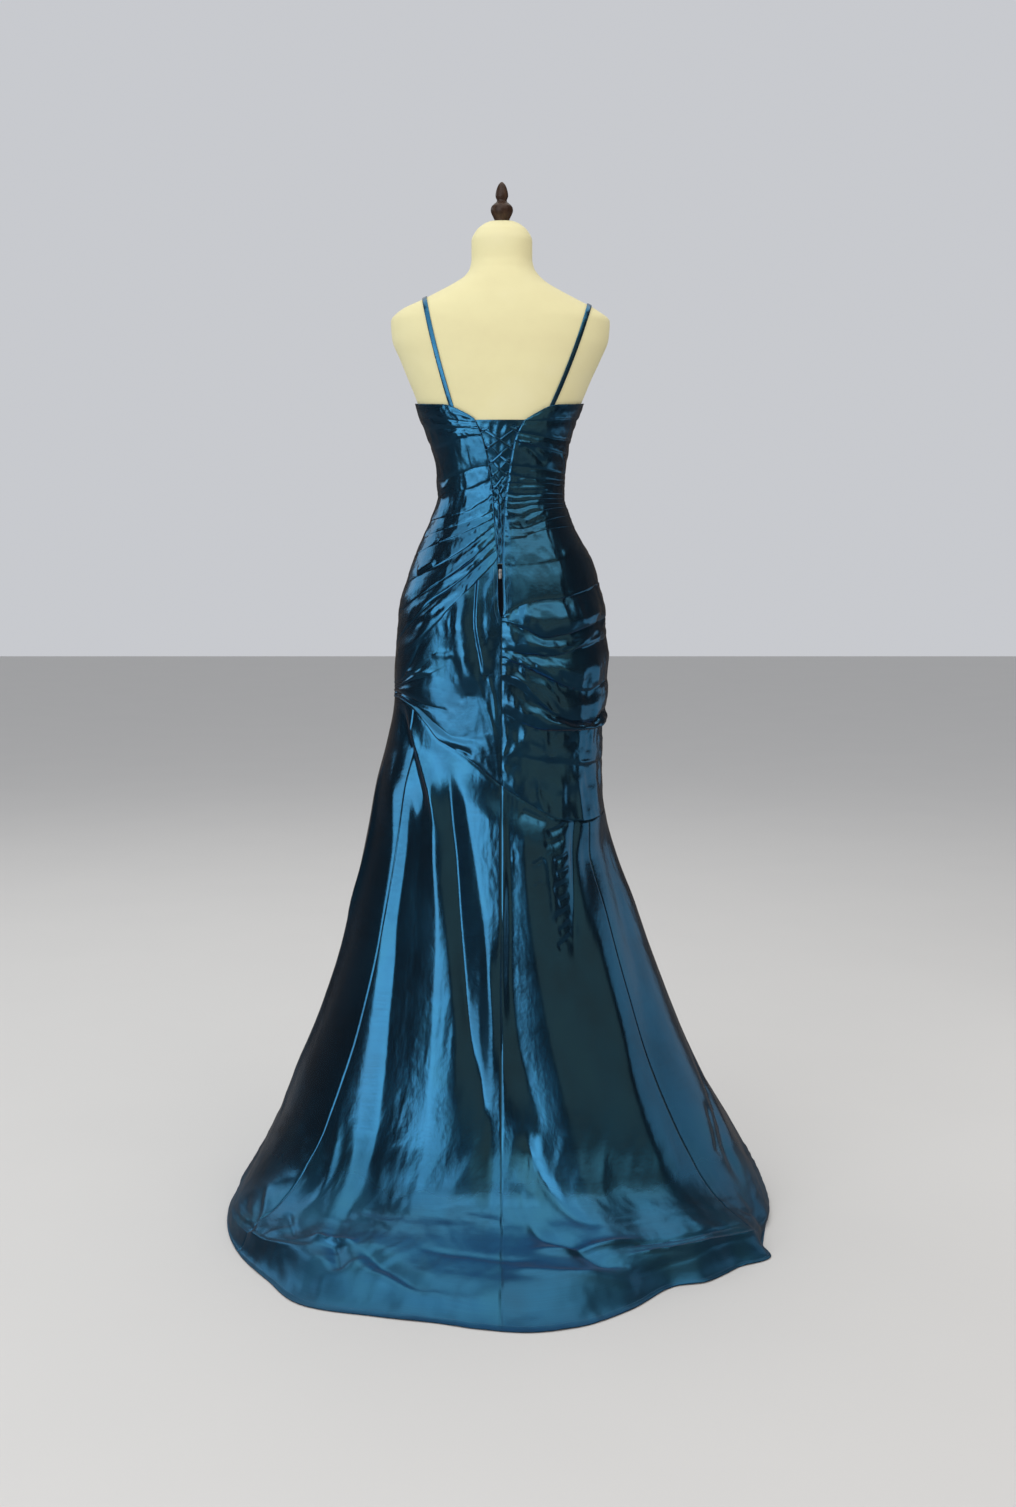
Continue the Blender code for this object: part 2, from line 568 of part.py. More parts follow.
def panels_under_opening(taffeta, tape):
    underlay("modesty_panel", PANEL_TOP, PANEL_BOTTOM,
             lambda z: edge_angle("left", z) - PANEL_OVERLAP,
             lambda z: edge_angle("right", z) + PANEL_OVERLAP,
             FORM_GAP, UNDERLAY_WALL, taffeta, 11, 8)
    underlay("zip_tape", ZIP_TOP, ZIP_BOTTOM,
             lambda z: 0 * z + ZIP_MIDDLE - ZIP_HALF_ANGLE,
             lambda z: 0 * z + ZIP_MIDDLE + ZIP_HALF_ANGLE,
             FORM_GAP, UNDERLAY_WALL, tape, 6, 5)


# ---------------------------------------------------------------- straps and lacing
STRAP_GAP = 0.0014       # strap above the form
STRAP_ENDS = {"back": 1.3618, "front": 1.3880}   # heights just above the neckline
STRAP_CENTRE = 1.40      # height of the point that a strap's course turns about
STRAPS = {               # x where each strap leaves the back, tops the shoulder, meets the front
    "left": {"back": -0.081, "shoulder": -0.127, "front": -0.084},
    "right": {"back": 0.080, "shoulder": 0.144, "front": 0.084},
}
STRAP_STEPS = 36


def inside_torso(x, y, height):
    """True where a point lies inside the form."""
    angle = math.degrees(math.atan2(x, -y))
    if not FORM_BASE < height < FORM_TOP:
        return False
    return math.hypot(x, y) < float(torso_reach(angle, height))


def strap_point(x, lean, lift):
    """The form's surface in the plane of x, seen from its centre at an angle.

    lean is 0 straight up, negative to the back and positive to the front.
    """
    low, high = 0.0, 0.3
    for _ in range(40):
        middle = (low + high) / 2
        if inside_torso(x, middle * math.sin(lean), STRAP_CENTRE + middle * math.cos(lean)):
            low = middle
        else:
            high = middle
    reach = low + lift
    return Vector((x, reach * math.sin(lean), STRAP_CENTRE + reach * math.cos(lean)))


def strap_lean(x, height, sign):
    """The lean at which the form's surface lies at a height, back or front."""
    low, high = 0.0, math.radians(125)
    for _ in range(40):
        middle = (low + high) / 2
        if strap_point(x, sign * middle, 0.0).z > height:
            low = middle
        else:
            high = middle
    return sign * low


def strap(side, taffeta):
    """A flat band from the back neckline over the shoulder to the front."""
    places = STRAPS[side]
    start = strap_lean(places["back"], STRAP_ENDS["back"], -1)
    stop = strap_lean(places["front"], STRAP_ENDS["front"], 1)
    course = []
    for k in range(STRAP_STEPS + 1):
        share = k / STRAP_STEPS
        lean = start + (stop - start) * share
        end = places["back"] if lean < 0 else places["front"]
        top = (1 + math.cos(math.pi * min(lean / (start if lean < 0 else stop), 1))) / 2
        x = end + (places["shoulder"] - end) * top
        course.append(strap_point(x, lean, STRAP_GAP + STRAP_THICKNESS / 2))
    return band(f"strap_{side}", course, STRAP_WIDTH, STRAP_THICKNESS, form_normals(course), taffeta)


def form_normals(course):
    """Directions out of the form at points near its surface."""
    normals = []
    step = 0.002
    for p in course:
        def depth(q):
            angle = math.degrees(math.atan2(q.x, -q.y))
            return math.hypot(q.x, q.y) / float(torso_reach(angle, min(q.z, FORM_TOP)))
        slope = Vector([depth(p + Vector(d) * step) - depth(p - Vector(d) * step)
                        for d in ((1, 0, 0), (0, 1, 0), (0, 0, 1))])
        normals.append(slope.normalized())
    return normals


def band(name, course, width, thickness, normals, material):
    """A flat band along a course, its face turned to the given normals."""
    points, faces = [], []
    for k, p in enumerate(course):
        ahead = course[min(k + 1, len(course) - 1)] - course[max(k - 1, 0)]
        across = ahead.cross(normals[k]).normalized() * (width / 2)
        out = across.cross(ahead).normalized() * (thickness / 2)
        if out.dot(normals[k]) < 0:
            out = -out
        points += [p + across + out, p - across + out, p - across - out, p + across - out]
    for k in range(len(course) - 1):
        for i in range(4):
            j = (i + 1) % 4
            faces.append((4 * k + i, 4 * k + j, 4 * k + 4 + j, 4 * k + 4 + i))
    last = 4 * (len(course) - 1)
    faces += [(0, 1, 2, 3), (last, last + 1, last + 2, last + 3)]
    return solid(name, points, faces, material)


def back_point(x, level, height):
    """A point at x and a height, a level out from the form's back."""
    angle = math.asin(x / (float(smooth(TORSO, "height", "back", height)) + level))
    reach = float(torso_reach(math.degrees(angle), height)) + level
    return Vector((reach * math.sin(angle), -reach * math.cos(angle), height))


# Loops down both edges: height, and how far a loop reaches towards the centre.
LOOPS = table(("height", "reach"), (
    (1.318, 0.0056), (1.291, 0.0054), (1.268, 0.0052), (1.247, 0.0046),
    (1.227, 0.0042), (1.207, 0.0038),
))
LOOP_LEVEL = 0.0042      # middle of the loops above the form
LACE_OVER = 0.0061       # the lace in front of a loop
LACE_UNDER = 0.0025      # and behind it
TURN_GAP = 0.0008        # where the lace turns, from the edge of the bodice
LACE_CLEAR = 0.0012      # the lace from the loop's tip, and above or below its middle
LACE_START = (0.005, 0.004)    # how far inwards and up a strand starts
LACE_END_DROP = 0.006    # and how far below its last loop it ends


def tube(name, points, radius, resolution, material):
    """A round tube with closed ends along straight runs between points."""
    curve = bpy.data.curves.new(name, "CURVE")
    curve.dimensions = "3D"
    curve.bevel_depth = radius
    curve.bevel_resolution = resolution
    curve.use_fill_caps = True
    spline = curve.splines.new("POLY")
    spline.points.add(len(points) - 1)
    for target, p in zip(spline.points, points):
        target.co = (*p, 1)
    curve.materials.append(material)
    thing = bpy.data.objects.new(name, curve)
    bpy.context.scene.collection.objects.link(thing)
    return thing


def loop_rows():
    """Heights and reaches of the loops, from the top."""
    return list(zip(LOOPS["height"][::-1], LOOPS["reach"][::-1]))


def edge_x(side, height):
    return float(smooth(OPENING, "height", side, height))


def loops(taffeta):
    for side, inward in (("left", 1), ("right", -1)):
        for number, (height, reach) in enumerate(loop_rows(), start=1):
            points = []
            for k in range(7):
                turn = math.pi * k / 6
                up = height + LOOP_HALF_HEIGHT * math.cos(turn)
                out = 2 * TOUCH + (reach - LOOP_RADIUS) * math.sin(turn)
                points.append(back_point(edge_x(side, up) + inward * out, LOOP_LEVEL, up))
            tube(f"loop_{side}_{number}", points, LOOP_RADIUS, 0, taffeta)


def lace_course(first_side, passes_over):
    """One strand of the lacing, from loop to loop across the opening."""
    rows = loop_rows()
    course = []
    for k, (height, reach) in enumerate(rows):
        side = first_side if k % 2 == 0 else {"left": "right", "right": "left"}[first_side]
        inward = 1 if side == "left" else -1
        edge = edge_x(side, height)
        bar = edge + inward * (reach + LACE_CLEAR)
        if k:
            fore_x, fore_height = leaving
            crossing = ((0.35, LACE_OVER), (0.62, LACE_OVER)) if passes_over else \
                ((0.38, LACE_UNDER), (0.65, LACE_UNDER))
            for share, level in crossing:
                course.append((fore_x + (bar - fore_x) * share, level,
                               fore_height + (height + LACE_CLEAR - fore_height) * share))
        else:
            aside, up = LACE_START
            course.append((bar + inward * aside, LACE_OVER, height + up))
        near, slant, slack = edge + inward * (TURN_GAP + LACE_CLEAR), LACE_CLEAR / 3, LACE_CLEAR / 6
        course.append((bar, LACE_OVER, height + LACE_CLEAR))
        course.append((near, LACE_OVER - slack, height + slant))
        course.append((edge + inward * TURN_GAP, (LACE_OVER + LACE_UNDER) / 2, height))
        course.append((near, LACE_UNDER + slack, height - slant))
        leaving = (bar, height - LACE_CLEAR)
        course.append((bar, LACE_UNDER, height - LACE_CLEAR))
    middle = (edge_x("left", height) + edge_x("right", height)) / 2
    course.append(((bar + middle) / 2, LACE_UNDER, height - LACE_END_DROP))
    return course


def lacing(taffeta):
    for name, first_side, passes_over in (("lace_a", "left", True), ("lace_b", "right", False)):
        places = lace_course(first_side, passes_over)
        course = [back_point(*place) for place in places]
        points, faces = [], []
        for k, p in enumerate(course):
            ahead = course[min(k + 1, len(course) - 1)] - course[max(k - 1, 0)]
            x, level, height = places[k]
            up = back_point(x, level, height + LACE_WIDTH / 2) - p
            out = Vector((ahead.x, ahead.y, 0)).normalized().cross(Vector((0, 0, 1)))
            out *= LACE_THICKNESS / 2
            points += [p + up + out, p - up + out, p - up - out, p + up - out]
        for k in range(len(course) - 1):
            for i in range(4):
                j = (i + 1) % 4
                faces.append((4 * k + i, 4 * k + j, 4 * k + 4 + j, 4 * k + 4 + i))
        last = 4 * (len(course) - 1)
        faces += [(0, 1, 2, 3), (last, last + 1, last + 2, last + 3)]
        solid(name, points, faces, taffeta)


# The free ends of the lace: x, level above the form and height of their courses.
TAILS = {
    "left": ((-0.0063, 0.0035, 1.1978), (-0.0058, 0.0045, 1.1905), (-0.0050, 0.0058, 1.1820),
             (-0.0056, 0.0066, 1.1720), (-0.0066, 0.0070, 1.1620), (-0.0050, 0.0074, 1.1510),
             (-0.0064, 0.0076, 1.1390), (-0.0049, 0.0077, 1.1275), (-0.0056, 0.0077, 1.1160)),
    "right": ((-0.0018, 0.0035, 1.1978), (-0.0014, 0.0045, 1.1905), (-0.0004, 0.0060, 1.1820),
              (-0.0012, 0.0068, 1.1730), (0.0003, 0.0072, 1.1630), (-0.0012, 0.0075, 1.1530),
              (0.0002, 0.0077, 1.1420), (-0.0008, 0.0077, 1.1330)),
}
TAIL_STEPS = 2           # tube points for each point of a course


def smooth_course(points, steps):
    """Points on a smooth curve through the given ones."""
    keys = [Vector(p) for p in points]
    course = []
    for k in range(len(keys) - 1):
        before, after = keys[max(k - 1, 0)], keys[min(k + 2, len(keys) - 1)]
        a, b = keys[k], keys[k + 1]
        for i in range(steps):
            t = i / steps
            course.append(0.5 * (2 * a + (b - before) * t
                                 + (2 * before - 5 * a + 4 * b - after) * t * t
                                 + (3 * a - before - 3 * b + after) * t ** 3))
    return course + [keys[-1]]


def lace_tails(taffeta):
    for side, course in TAILS.items():
        points = smooth_course([back_point(*place) for place in course], TAIL_STEPS)
        tube(f"lace_tail_{side}", points, TAIL_DIAMETER / 2, 2, taffeta)


# ---------------------------------------------------------------- zip
ZIP_X = -0.0025
PIVOT_HEIGHT = 1.0905
SLIDER = {"width": 0.0050, "length": 0.0080, "level": 0.0021, "top": 0.0046}
BRIDGE = {"width": 0.0016, "length": 0.0056, "rise": 0.0028, "bar": 0.0008}
PULL = {"bar": 0.0005, "arm": 0.0019, "width": 0.0046, "length": 0.0125, "thickness": 0.0009}
PIVOT_RISE = 0.0012      # the pull's bar above the slider


def zip_frame():
    """Axes of the zip: the slope of the back at the slider."""
    here = back_point(ZIP_X, 0.0, PIVOT_HEIGHT)
    below = back_point(ZIP_X, 0.0, PIVOT_HEIGHT - 0.012)
    return here, math.atan2(below.y - here.y, here.z - below.z)


def boxes(name, blocks, material, location, tilt):
    """Blocks given as (low corner, high corner), fused and placed."""
    parts = []
    for low, high in blocks:
        mesh = bpy.data.meshes.new(name)
        shape = bmesh.new()
        bmesh.ops.create_cube(shape, size=1.0)
        size = Vector(high) - Vector(low)
        middle = (Vector(high) + Vector(low)) / 2
        for vert in shape.verts:
            vert.co = Vector([vert.co[i] * size[i] + middle[i] for i in range(3)])
        shape.to_mesh(mesh)
        shape.free()
        thing = bpy.data.objects.new(name, mesh)
        bpy.context.scene.collection.objects.link(thing)
        parts.append(thing)
    body = parts[0]
    for number, extra in enumerate(parts[1:], start=1):
        extra.name = f"guide_{name}_{number}"
        extra.hide_render = True
        extra.display_type = "WIRE"
        union = body.modifiers.new(f"union {number}", "BOOLEAN")
        union.operation = "UNION"
        union.object = extra
        extra.location = location
        extra.rotation_euler = (tilt, 0, 0)
    body.location = location
    body.rotation_euler = (tilt, 0, 0)
    body.data.materials.append(material)
    return body


def zip_parts(metal):
    """The slider with its bridge, and the pull that turns in it."""
    here, tilt = zip_frame()
    base, top = -SLIDER["level"], -SLIDER["top"]
    high = top - BRIDGE["rise"]
    w, n = SLIDER["width"] / 2, SLIDER["length"] / 2
    b, m, t = BRIDGE["width"] / 2, BRIDGE["length"] / 2, BRIDGE["bar"]
    boxes("zip_slider", (
        ((-w, top, -n), (w, base, n)),
        ((-b, high, m - t), (b, top + t, m)),
        ((-b, high, -m), (b, top + t, -m + t)),
        ((-b, high, -m), (b, high + t, m)),
    ), metal, here, tilt)
    pivot_out = top - PIVOT_RISE
    across = Vector((0, math.cos(tilt), math.sin(tilt)))
    pivot = here + across * pivot_out
    r, a, p = PULL["bar"], PULL["arm"], PULL["width"] / 2
    half = PULL["thickness"] / 2
    shoulder = -m - 0.0012
    boxes("zip_pull", (
        ((-p, -half, -PULL["length"]), (p, half, shoulder)),
        ((-p, -half, shoulder - r), (-a + 0.0004, half, r)),
        ((a - 0.0004, -half, shoulder - r), (p, half, r)),
        ((-p, -half, -r), (p, half, r)),
    ), metal, pivot, tilt)


# ---------------------------------------------------------------- form and stand
TORSO_COLUMNS = 22
TORSO_ROW = 0.020        # spacing of the torso's rows where the gown lies on it
SHOULDER = (1.46, 1.58)  # heights with closer rows, under the straps


def torso(linen):
    """The padded torso: shoulders rounded off, flat below, domed at the neck."""
    fitted = np.arange(0.82, 1.4001, TORSO_ROW)
    above = [h for h in TORSO["height"] if h > fitted[-1] + 0.008]
    shoulder = [(a + b) / 2 for a, b in zip(above, above[1:]) if SHOULDER[0] < a < SHOULDER[1]]
    heights = sorted(list(fitted) + above + shoulder)
    angle = np.arange(TORSO_COLUMNS) * 360 / TORSO_COLUMNS
    points, faces = [], []
    for height in heights:
        reach = torso_reach(angle, height)
        points += list(np.stack([reach * np.sin(np.radians(angle)),
                                 -reach * np.cos(np.radians(angle)),
                                 np.full_like(angle, height)], axis=-1))
    n = TORSO_COLUMNS
    for j in range(len(heights) - 1):
        for i in range(n):
            k = (i + 1) % n
            faces.append((j * n + i, j * n + k, (j + 1) * n + k, (j + 1) * n + i))
    faces.append(tuple(range(n)))
    last = (len(heights) - 1) * n
    faces.append(tuple(range(last, last + n)))
    return solid("form_torso", points, faces, linen, sharp=60)


def turned_piece(name, profile, centre, material, columns=24):
    """A turned solid from (height, radius) rows, closed flat at both ends."""
    points, faces = [], []
    for height, radius in profile:
        for i in range(columns):
            angle = 2 * math.pi * i / columns
            points.append((centre[0] + radius * math.cos(angle),
                           centre[1] + radius * math.sin(angle), height))
    for j in range(len(profile) - 1):
        for i in range(columns):
            k = (i + 1) % columns
            a, b = j * columns, (j + 1) * columns
            faces.append((a + i, a + k, b + k, b + i))
    faces.append(tuple(range(columns)))
    last = (len(profile) - 1) * columns
    faces.append(tuple(range(last, last + columns)))
    return solid(name, points, faces, material)


FINIAL = (               # height above the neck, radius
    (0.000, 0.0165), (0.003, 0.0180), (0.009, 0.0182), (0.015, 0.0165), (0.021, 0.0125),
    (0.026, 0.0085), (0.030, 0.0068), (0.034, 0.0085), (0.039, 0.0118), (0.045, 0.0130),
    (0.051, 0.0112), (0.056, 0.0080), (0.061, 0.0042), (0.064, 0.0015),
)


FINIAL_CENTRE = (0.0, 0.009)
STAND_EDGE = 0.004       # rounding of the base's edge


def stand(wood):
    """Finial, pole and round base of the stand."""
    turned_piece("form_finial", [(FORM_TOP + TOUCH + h, r) for h, r in FINIAL],
                 FINIAL_CENTRE, wood, 12)
    edge = STAND_EDGE
    hub_top = STAND_THICKNESS + HUB_HEIGHT
    turned_piece("stand_base", (
        (0.0, STAND_RADIUS - edge), (edge, STAND_RADIUS), (STAND_THICKNESS - edge, STAND_RADIUS),
        (STAND_THICKNESS, STAND_RADIUS - edge), (STAND_THICKNESS + 0.001, HUB_RADIUS + 0.006),
        (STAND_THICKNESS + 0.006, HUB_RADIUS), (hub_top - edge, HUB_RADIUS * 0.75),
        (hub_top, HUB_RADIUS * 0.6),
    ), (0.0, 0.0), wood, 24)
    turned_piece("stand_pole", (
        (hub_top + TOUCH, POLE_RADIUS), (FORM_BASE - TOUCH, POLE_RADIUS),
    ), (0.0, 0.0), wood, 16)


# ---------------------------------------------------------------- materials and build
def finish(name, colour, roughness, metallic=0.0, sheen=0.0):
    material = bpy.data.materials.new(name)
    material.use_nodes = True
    shader = material.node_tree.nodes["Principled BSDF"]
    shader.inputs["Base Color"].default_value = (*colour, 1.0)
    shader.inputs["Roughness"].default_value = roughness
    shader.inputs["Metallic"].default_value = metallic
    shader.inputs["Sheen Weight"].default_value = sheen
    return material


def main():
    for thing in list(bpy.data.objects):
        bpy.data.objects.remove(thing, do_unlink=True)
    taffeta = finish("shot taffeta", (0.045, 0.16, 0.27), 0.38, 0.0, 0.5)
    linen = finish("cream cover", (0.83, 0.77, 0.55), 0.85)
    wood = finish("dark turned wood", (0.10, 0.055, 0.03), 0.4)
    metal = finish("zip metal", (0.55, 0.58, 0.60), 0.3, 1.0)
    tape = finish("zip tape", (0.05, 0.07, 0.09), 0.8)
    torso(linen)
    stand(wood)
    panels_under_opening(taffeta, tape)
    back_panels(taffeta)
    front_panels(taffeta)
    skirt_panels(taffeta)
    for side in ("left", "right"):
        strap(side, taffeta)
    loops(taffeta)
    lacing(taffeta)
    lace_tails(taffeta)
    zip_parts(metal)


if __name__ == "__main__":
    main()
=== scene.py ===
"""Finished looks of an evening gown of shot taffeta on a limbless dress form.

Metres, +Z up, in the frame of the solids: the floor is z = 0 and the stand's pole
is the Z axis. The gown's back faces -Y. Angles go round the pole from the centre
back: 0 is the centre back, +90 the wearer's right side (+X), 180 the centre
front, -90 the left side. Every cloth piece is a thin shell on one gown surface,
which folds, pleats and creases lift or sink.

It is laid out as an add-on and runs as a script: main() registers its classes
and calls its operators in order.
"""

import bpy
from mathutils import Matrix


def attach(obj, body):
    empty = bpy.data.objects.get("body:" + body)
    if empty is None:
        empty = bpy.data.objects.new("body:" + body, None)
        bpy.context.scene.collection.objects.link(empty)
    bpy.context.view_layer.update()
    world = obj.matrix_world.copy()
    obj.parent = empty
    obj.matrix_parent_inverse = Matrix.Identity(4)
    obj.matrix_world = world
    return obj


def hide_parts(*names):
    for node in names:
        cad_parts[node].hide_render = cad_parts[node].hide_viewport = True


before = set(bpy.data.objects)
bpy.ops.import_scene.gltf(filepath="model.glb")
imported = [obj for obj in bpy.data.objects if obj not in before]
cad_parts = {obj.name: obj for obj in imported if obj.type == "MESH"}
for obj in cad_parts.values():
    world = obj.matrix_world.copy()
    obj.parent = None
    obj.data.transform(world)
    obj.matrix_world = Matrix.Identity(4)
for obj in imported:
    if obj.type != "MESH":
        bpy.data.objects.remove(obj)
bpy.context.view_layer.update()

import math

import bmesh
import bpy
import numpy as np
from bpy.props import FloatProperty, FloatVectorProperty, IntProperty, PointerProperty
from mathutils import Matrix, Vector

bl_info = {
    "name": "Taffeta evening gown",
    "version": (1, 0, 0),
    "blender": (4, 5, 0),
    "location": "3D View > Sidebar > Gown",
    "description": "Builds the finished pieces of an evening gown on its dress form",
    "category": "Object",
}

GOWN = "gown_on_form"    # the body that everything but the zip's pull rides on
PULL = "pull"

# ---------------------------------------------------------------- sizes of the solids
WALL = 0.002             # the solids' cloth walls; the shells lie in their outer half
FORM_GAP = 0.0006
UNDERLAY_WALL = 0.0012
EASE = FORM_GAP + UNDERLAY_WALL + 0.0008
FRONT_EASE = 0.0018
SQUARENESS = 2.2         # exponent of the cross-sections; 2 would be an ellipse
FORM_BASE = 0.82
FORM_TOP = 1.660
POLE_RADIUS = 0.0125
STAND_RADIUS = 0.165
STAND_THICKNESS = 0.022
HUB_RADIUS = 0.032
HUB_HEIGHT = 0.028
TOUCH = 0.0003
TUCK_DEPTH = 0.0010      # the groove at a piece's seams
TUCK_WIDTH = 0.0024
BREAK = 0.12             # height where the skirt starts to turn out onto the floor
BODY_BLEND = (0.95, 1.03)
SLOPE_STEP = 0.01        # height over which the skirt's lowest slope is read
SIDE_SEAM = 90
BACK_GORE = 60
FRONT_GORE = 120


def read_points(names, text):
    """Points parted by commas: angles in degrees, all else in millimetres made metres."""
    return [tuple(float(word) if name == "angle" else round(float(word) * 10) / 10000
                  for name, word in zip(names.split(), point.split())) for point in text.split(",")]


def by_column(names, points):
    """Points as one array for each named column, sorted by the first."""
    values = np.array(sorted(points))
    return {name: values[:, i] for i, name in enumerate(names.split())}


def table(names, text):
    """Points in a text as one array for each named column."""
    return by_column(names, read_points(names, text))


def tables(names, text):
    """One table for each line."""
    return [table(names, line) for line in text.strip().splitlines()]


def ways(names, text):
    """Lines of a rise, the widths left and right of a way, and the way's points."""
    made = []
    for line in text.strip().splitlines():
        reach, way = line.split(":")
        made.append((*read_points("rise left right", reach)[0], read_points(names, way)))
    return made


SECTION = "height left right back front"
TORSO = table(SECTION, """
    1660 20 20 12 30, 1656 29 29 20 38, 1645 42 42 33 50, 1628 50 50 41 59, 1600 50 50 44 60,
    1585 52.5 53 50 61, 1572 61 62 58 62, 1560 79 76 64 63, 1548 102 97 69 65, 1534 130 124 75 70,
    1516 168 158 81 77, 1499 183 178 86 83, 1470 181 176 92 91, 1437 168 163 96 98, 1405 155 148 98 104,
    1372 141.5 134 98 109, 1340 131 120 97 111, 1300 115 107 93 108, 1260 104 101 87 102, 1215 102 99 83 96,
    1175 115 111 86 96, 1140 131 128 95 99, 1109 144 146 104 102, 1075 155 156 113 104, 1040 166 164 120 105,
    1000 171 169 125 104, 940 172 170 124 101, 880 165 163 116 96, 820 152 150 104 90
""")
SKIRT = table(SECTION, """
    1060 164 164 124 112, 1000 175 173 129 111, 940 180 178 130 112, 873 182 174 130 118, 800 196 168 130 128,
    736 213 168 133 138, 667 226 180 140 150, 600 240 200 149 163, 528 257 228 160 178, 458 272 252 172 193,
    388 293 278 186 209, 317 318 306 201 226, 246 348 338 221 243, 174 375 374 249 262, 120 402 402 279 276
""")
HEM = table("angle reach", """
    -180 312, -150 350, -120 425, -90 470, -79 476, -59 494, -46 509, -34 538, -21 520, -12 516,
    -3 530, 5 541, 12 534, 22 504, 35 464, 42 484, 50 484, 58 508, 63 478, 74 462, 90 458, 120 415, 150 345, 180 312
""")
TOP_EDGE = table("angle height", """
    -180 1338, -168 1352, -152 1383, -138 1387, -115 1371, -90 1366, -60 1361, -44 1359, -36 1353, -28 1343,
    -20 1332, 18 1332, 28 1345, 36 1355, 44 1359, 60 1361, 90 1366, 115 1371, 138 1387, 152 1383, 168 1352,
    180 1338
""")
WAIST_SEAM = {
    "left": table("angle height", """
    -180 990, -150 950, -120 918, -90 903, -72 912, -63 938, -54 980, -42 1014, -30 1045, 0 1112
    """),
    "right": table("angle height", """
    0 1022, 12 1036, 26 1045, 42 1048, 60 1058, 75 1068, 90 1072, 120 1062, 150 1035, 180 990
    """),
}
HIP_SEAM = {
    "left": table("angle height", """
    -180 765, -150 812, -120 858, -90 880, -72 880, -60 866, -50 842, -42 818, -27 795, 0 745
    """),
    "right": table("angle height", """
    0 745, 20 713, 38 688, 60 682, 75 688, 90 695, 120 710, 150 735, 180 765
    """),
}
OPENING = table("height left right", """
    1360 -50 46, 1333 -39 33, 1303 -28 20, 1255 -18 11.5, 1208 -13.5 5.5, 1158 -10 2, 1118 -7 0.5, 1090 -6 1,
    1040 -5 2.2, 1024 -3 2.2, 1014 0.3 0.7, 900 0 0.4, 700 -0.2 0.2
""")
BUST = {"angle": 38, "height": 1.318, "rise": 0.017, "spread": 0.052, "tall": 0.050}

# ---------------------------------------------------------------- folds and pleats
# Folds of the skirt: how far each stands out (or in), its spread to the left and
# to the right at the hem, and its course from top to hem.
FOLDS = ways("height angle", """
    -9 30 30: 340 92, 220 87, 110 75, 0 67
    7 35 35: 500 112, 240 106, 100 95, 0 86
    6 20 20: 820 -76, 640 -78, 500 -81, 300 -86, 0 -94
    15 45 40: 800 -104, 500 -108, 200 -112, 0 -113
    -10 40 40: 760 -116, 450 -121, 200 -124, 0 -125
    17 45 50: 740 -132, 450 -137, 200 -139, 0 -140
    -9 40 36: 700 -150, 400 -153, 0 -155
    15 45 40: 720 -165, 400 -168, 0 -171
    -10 34 40: 680 180, 400 178, 0 175
    16 42 46: 660 165, 400 163, 0 160
    -9 36 36: 640 150, 400 147, 0 144
    14 40 46: 620 136, 400 133, 0 130
    -10 36 36: 600 122, 400 120, 0 116
""")
# Crests and hollows that run down the back of the skirt, from left to right: how
# rounded each is in degrees, then its angle and its rise in millimetres at each
# of the heights.
RUN_HEIGHTS = (0.8, 0.72, 0.62, 0.53, 0.44, 0.35, 0.26, 0.17, 0.1, 0.04, 0)


def read_runs(text):
    """One table for each name and roundness, with the points on the line below."""
    lines, made = text.strip().splitlines(), []
    for head, course in zip(lines[::2], lines[1::2]):
        pairs = (map(float, point.split()) for point in course.split(","))
        made.append((float(head.split(";")[1]),
                     by_column("height angle rise", [(h, *pair) for h, pair in zip(RUN_HEIGHTS, pairs)])))
    return made


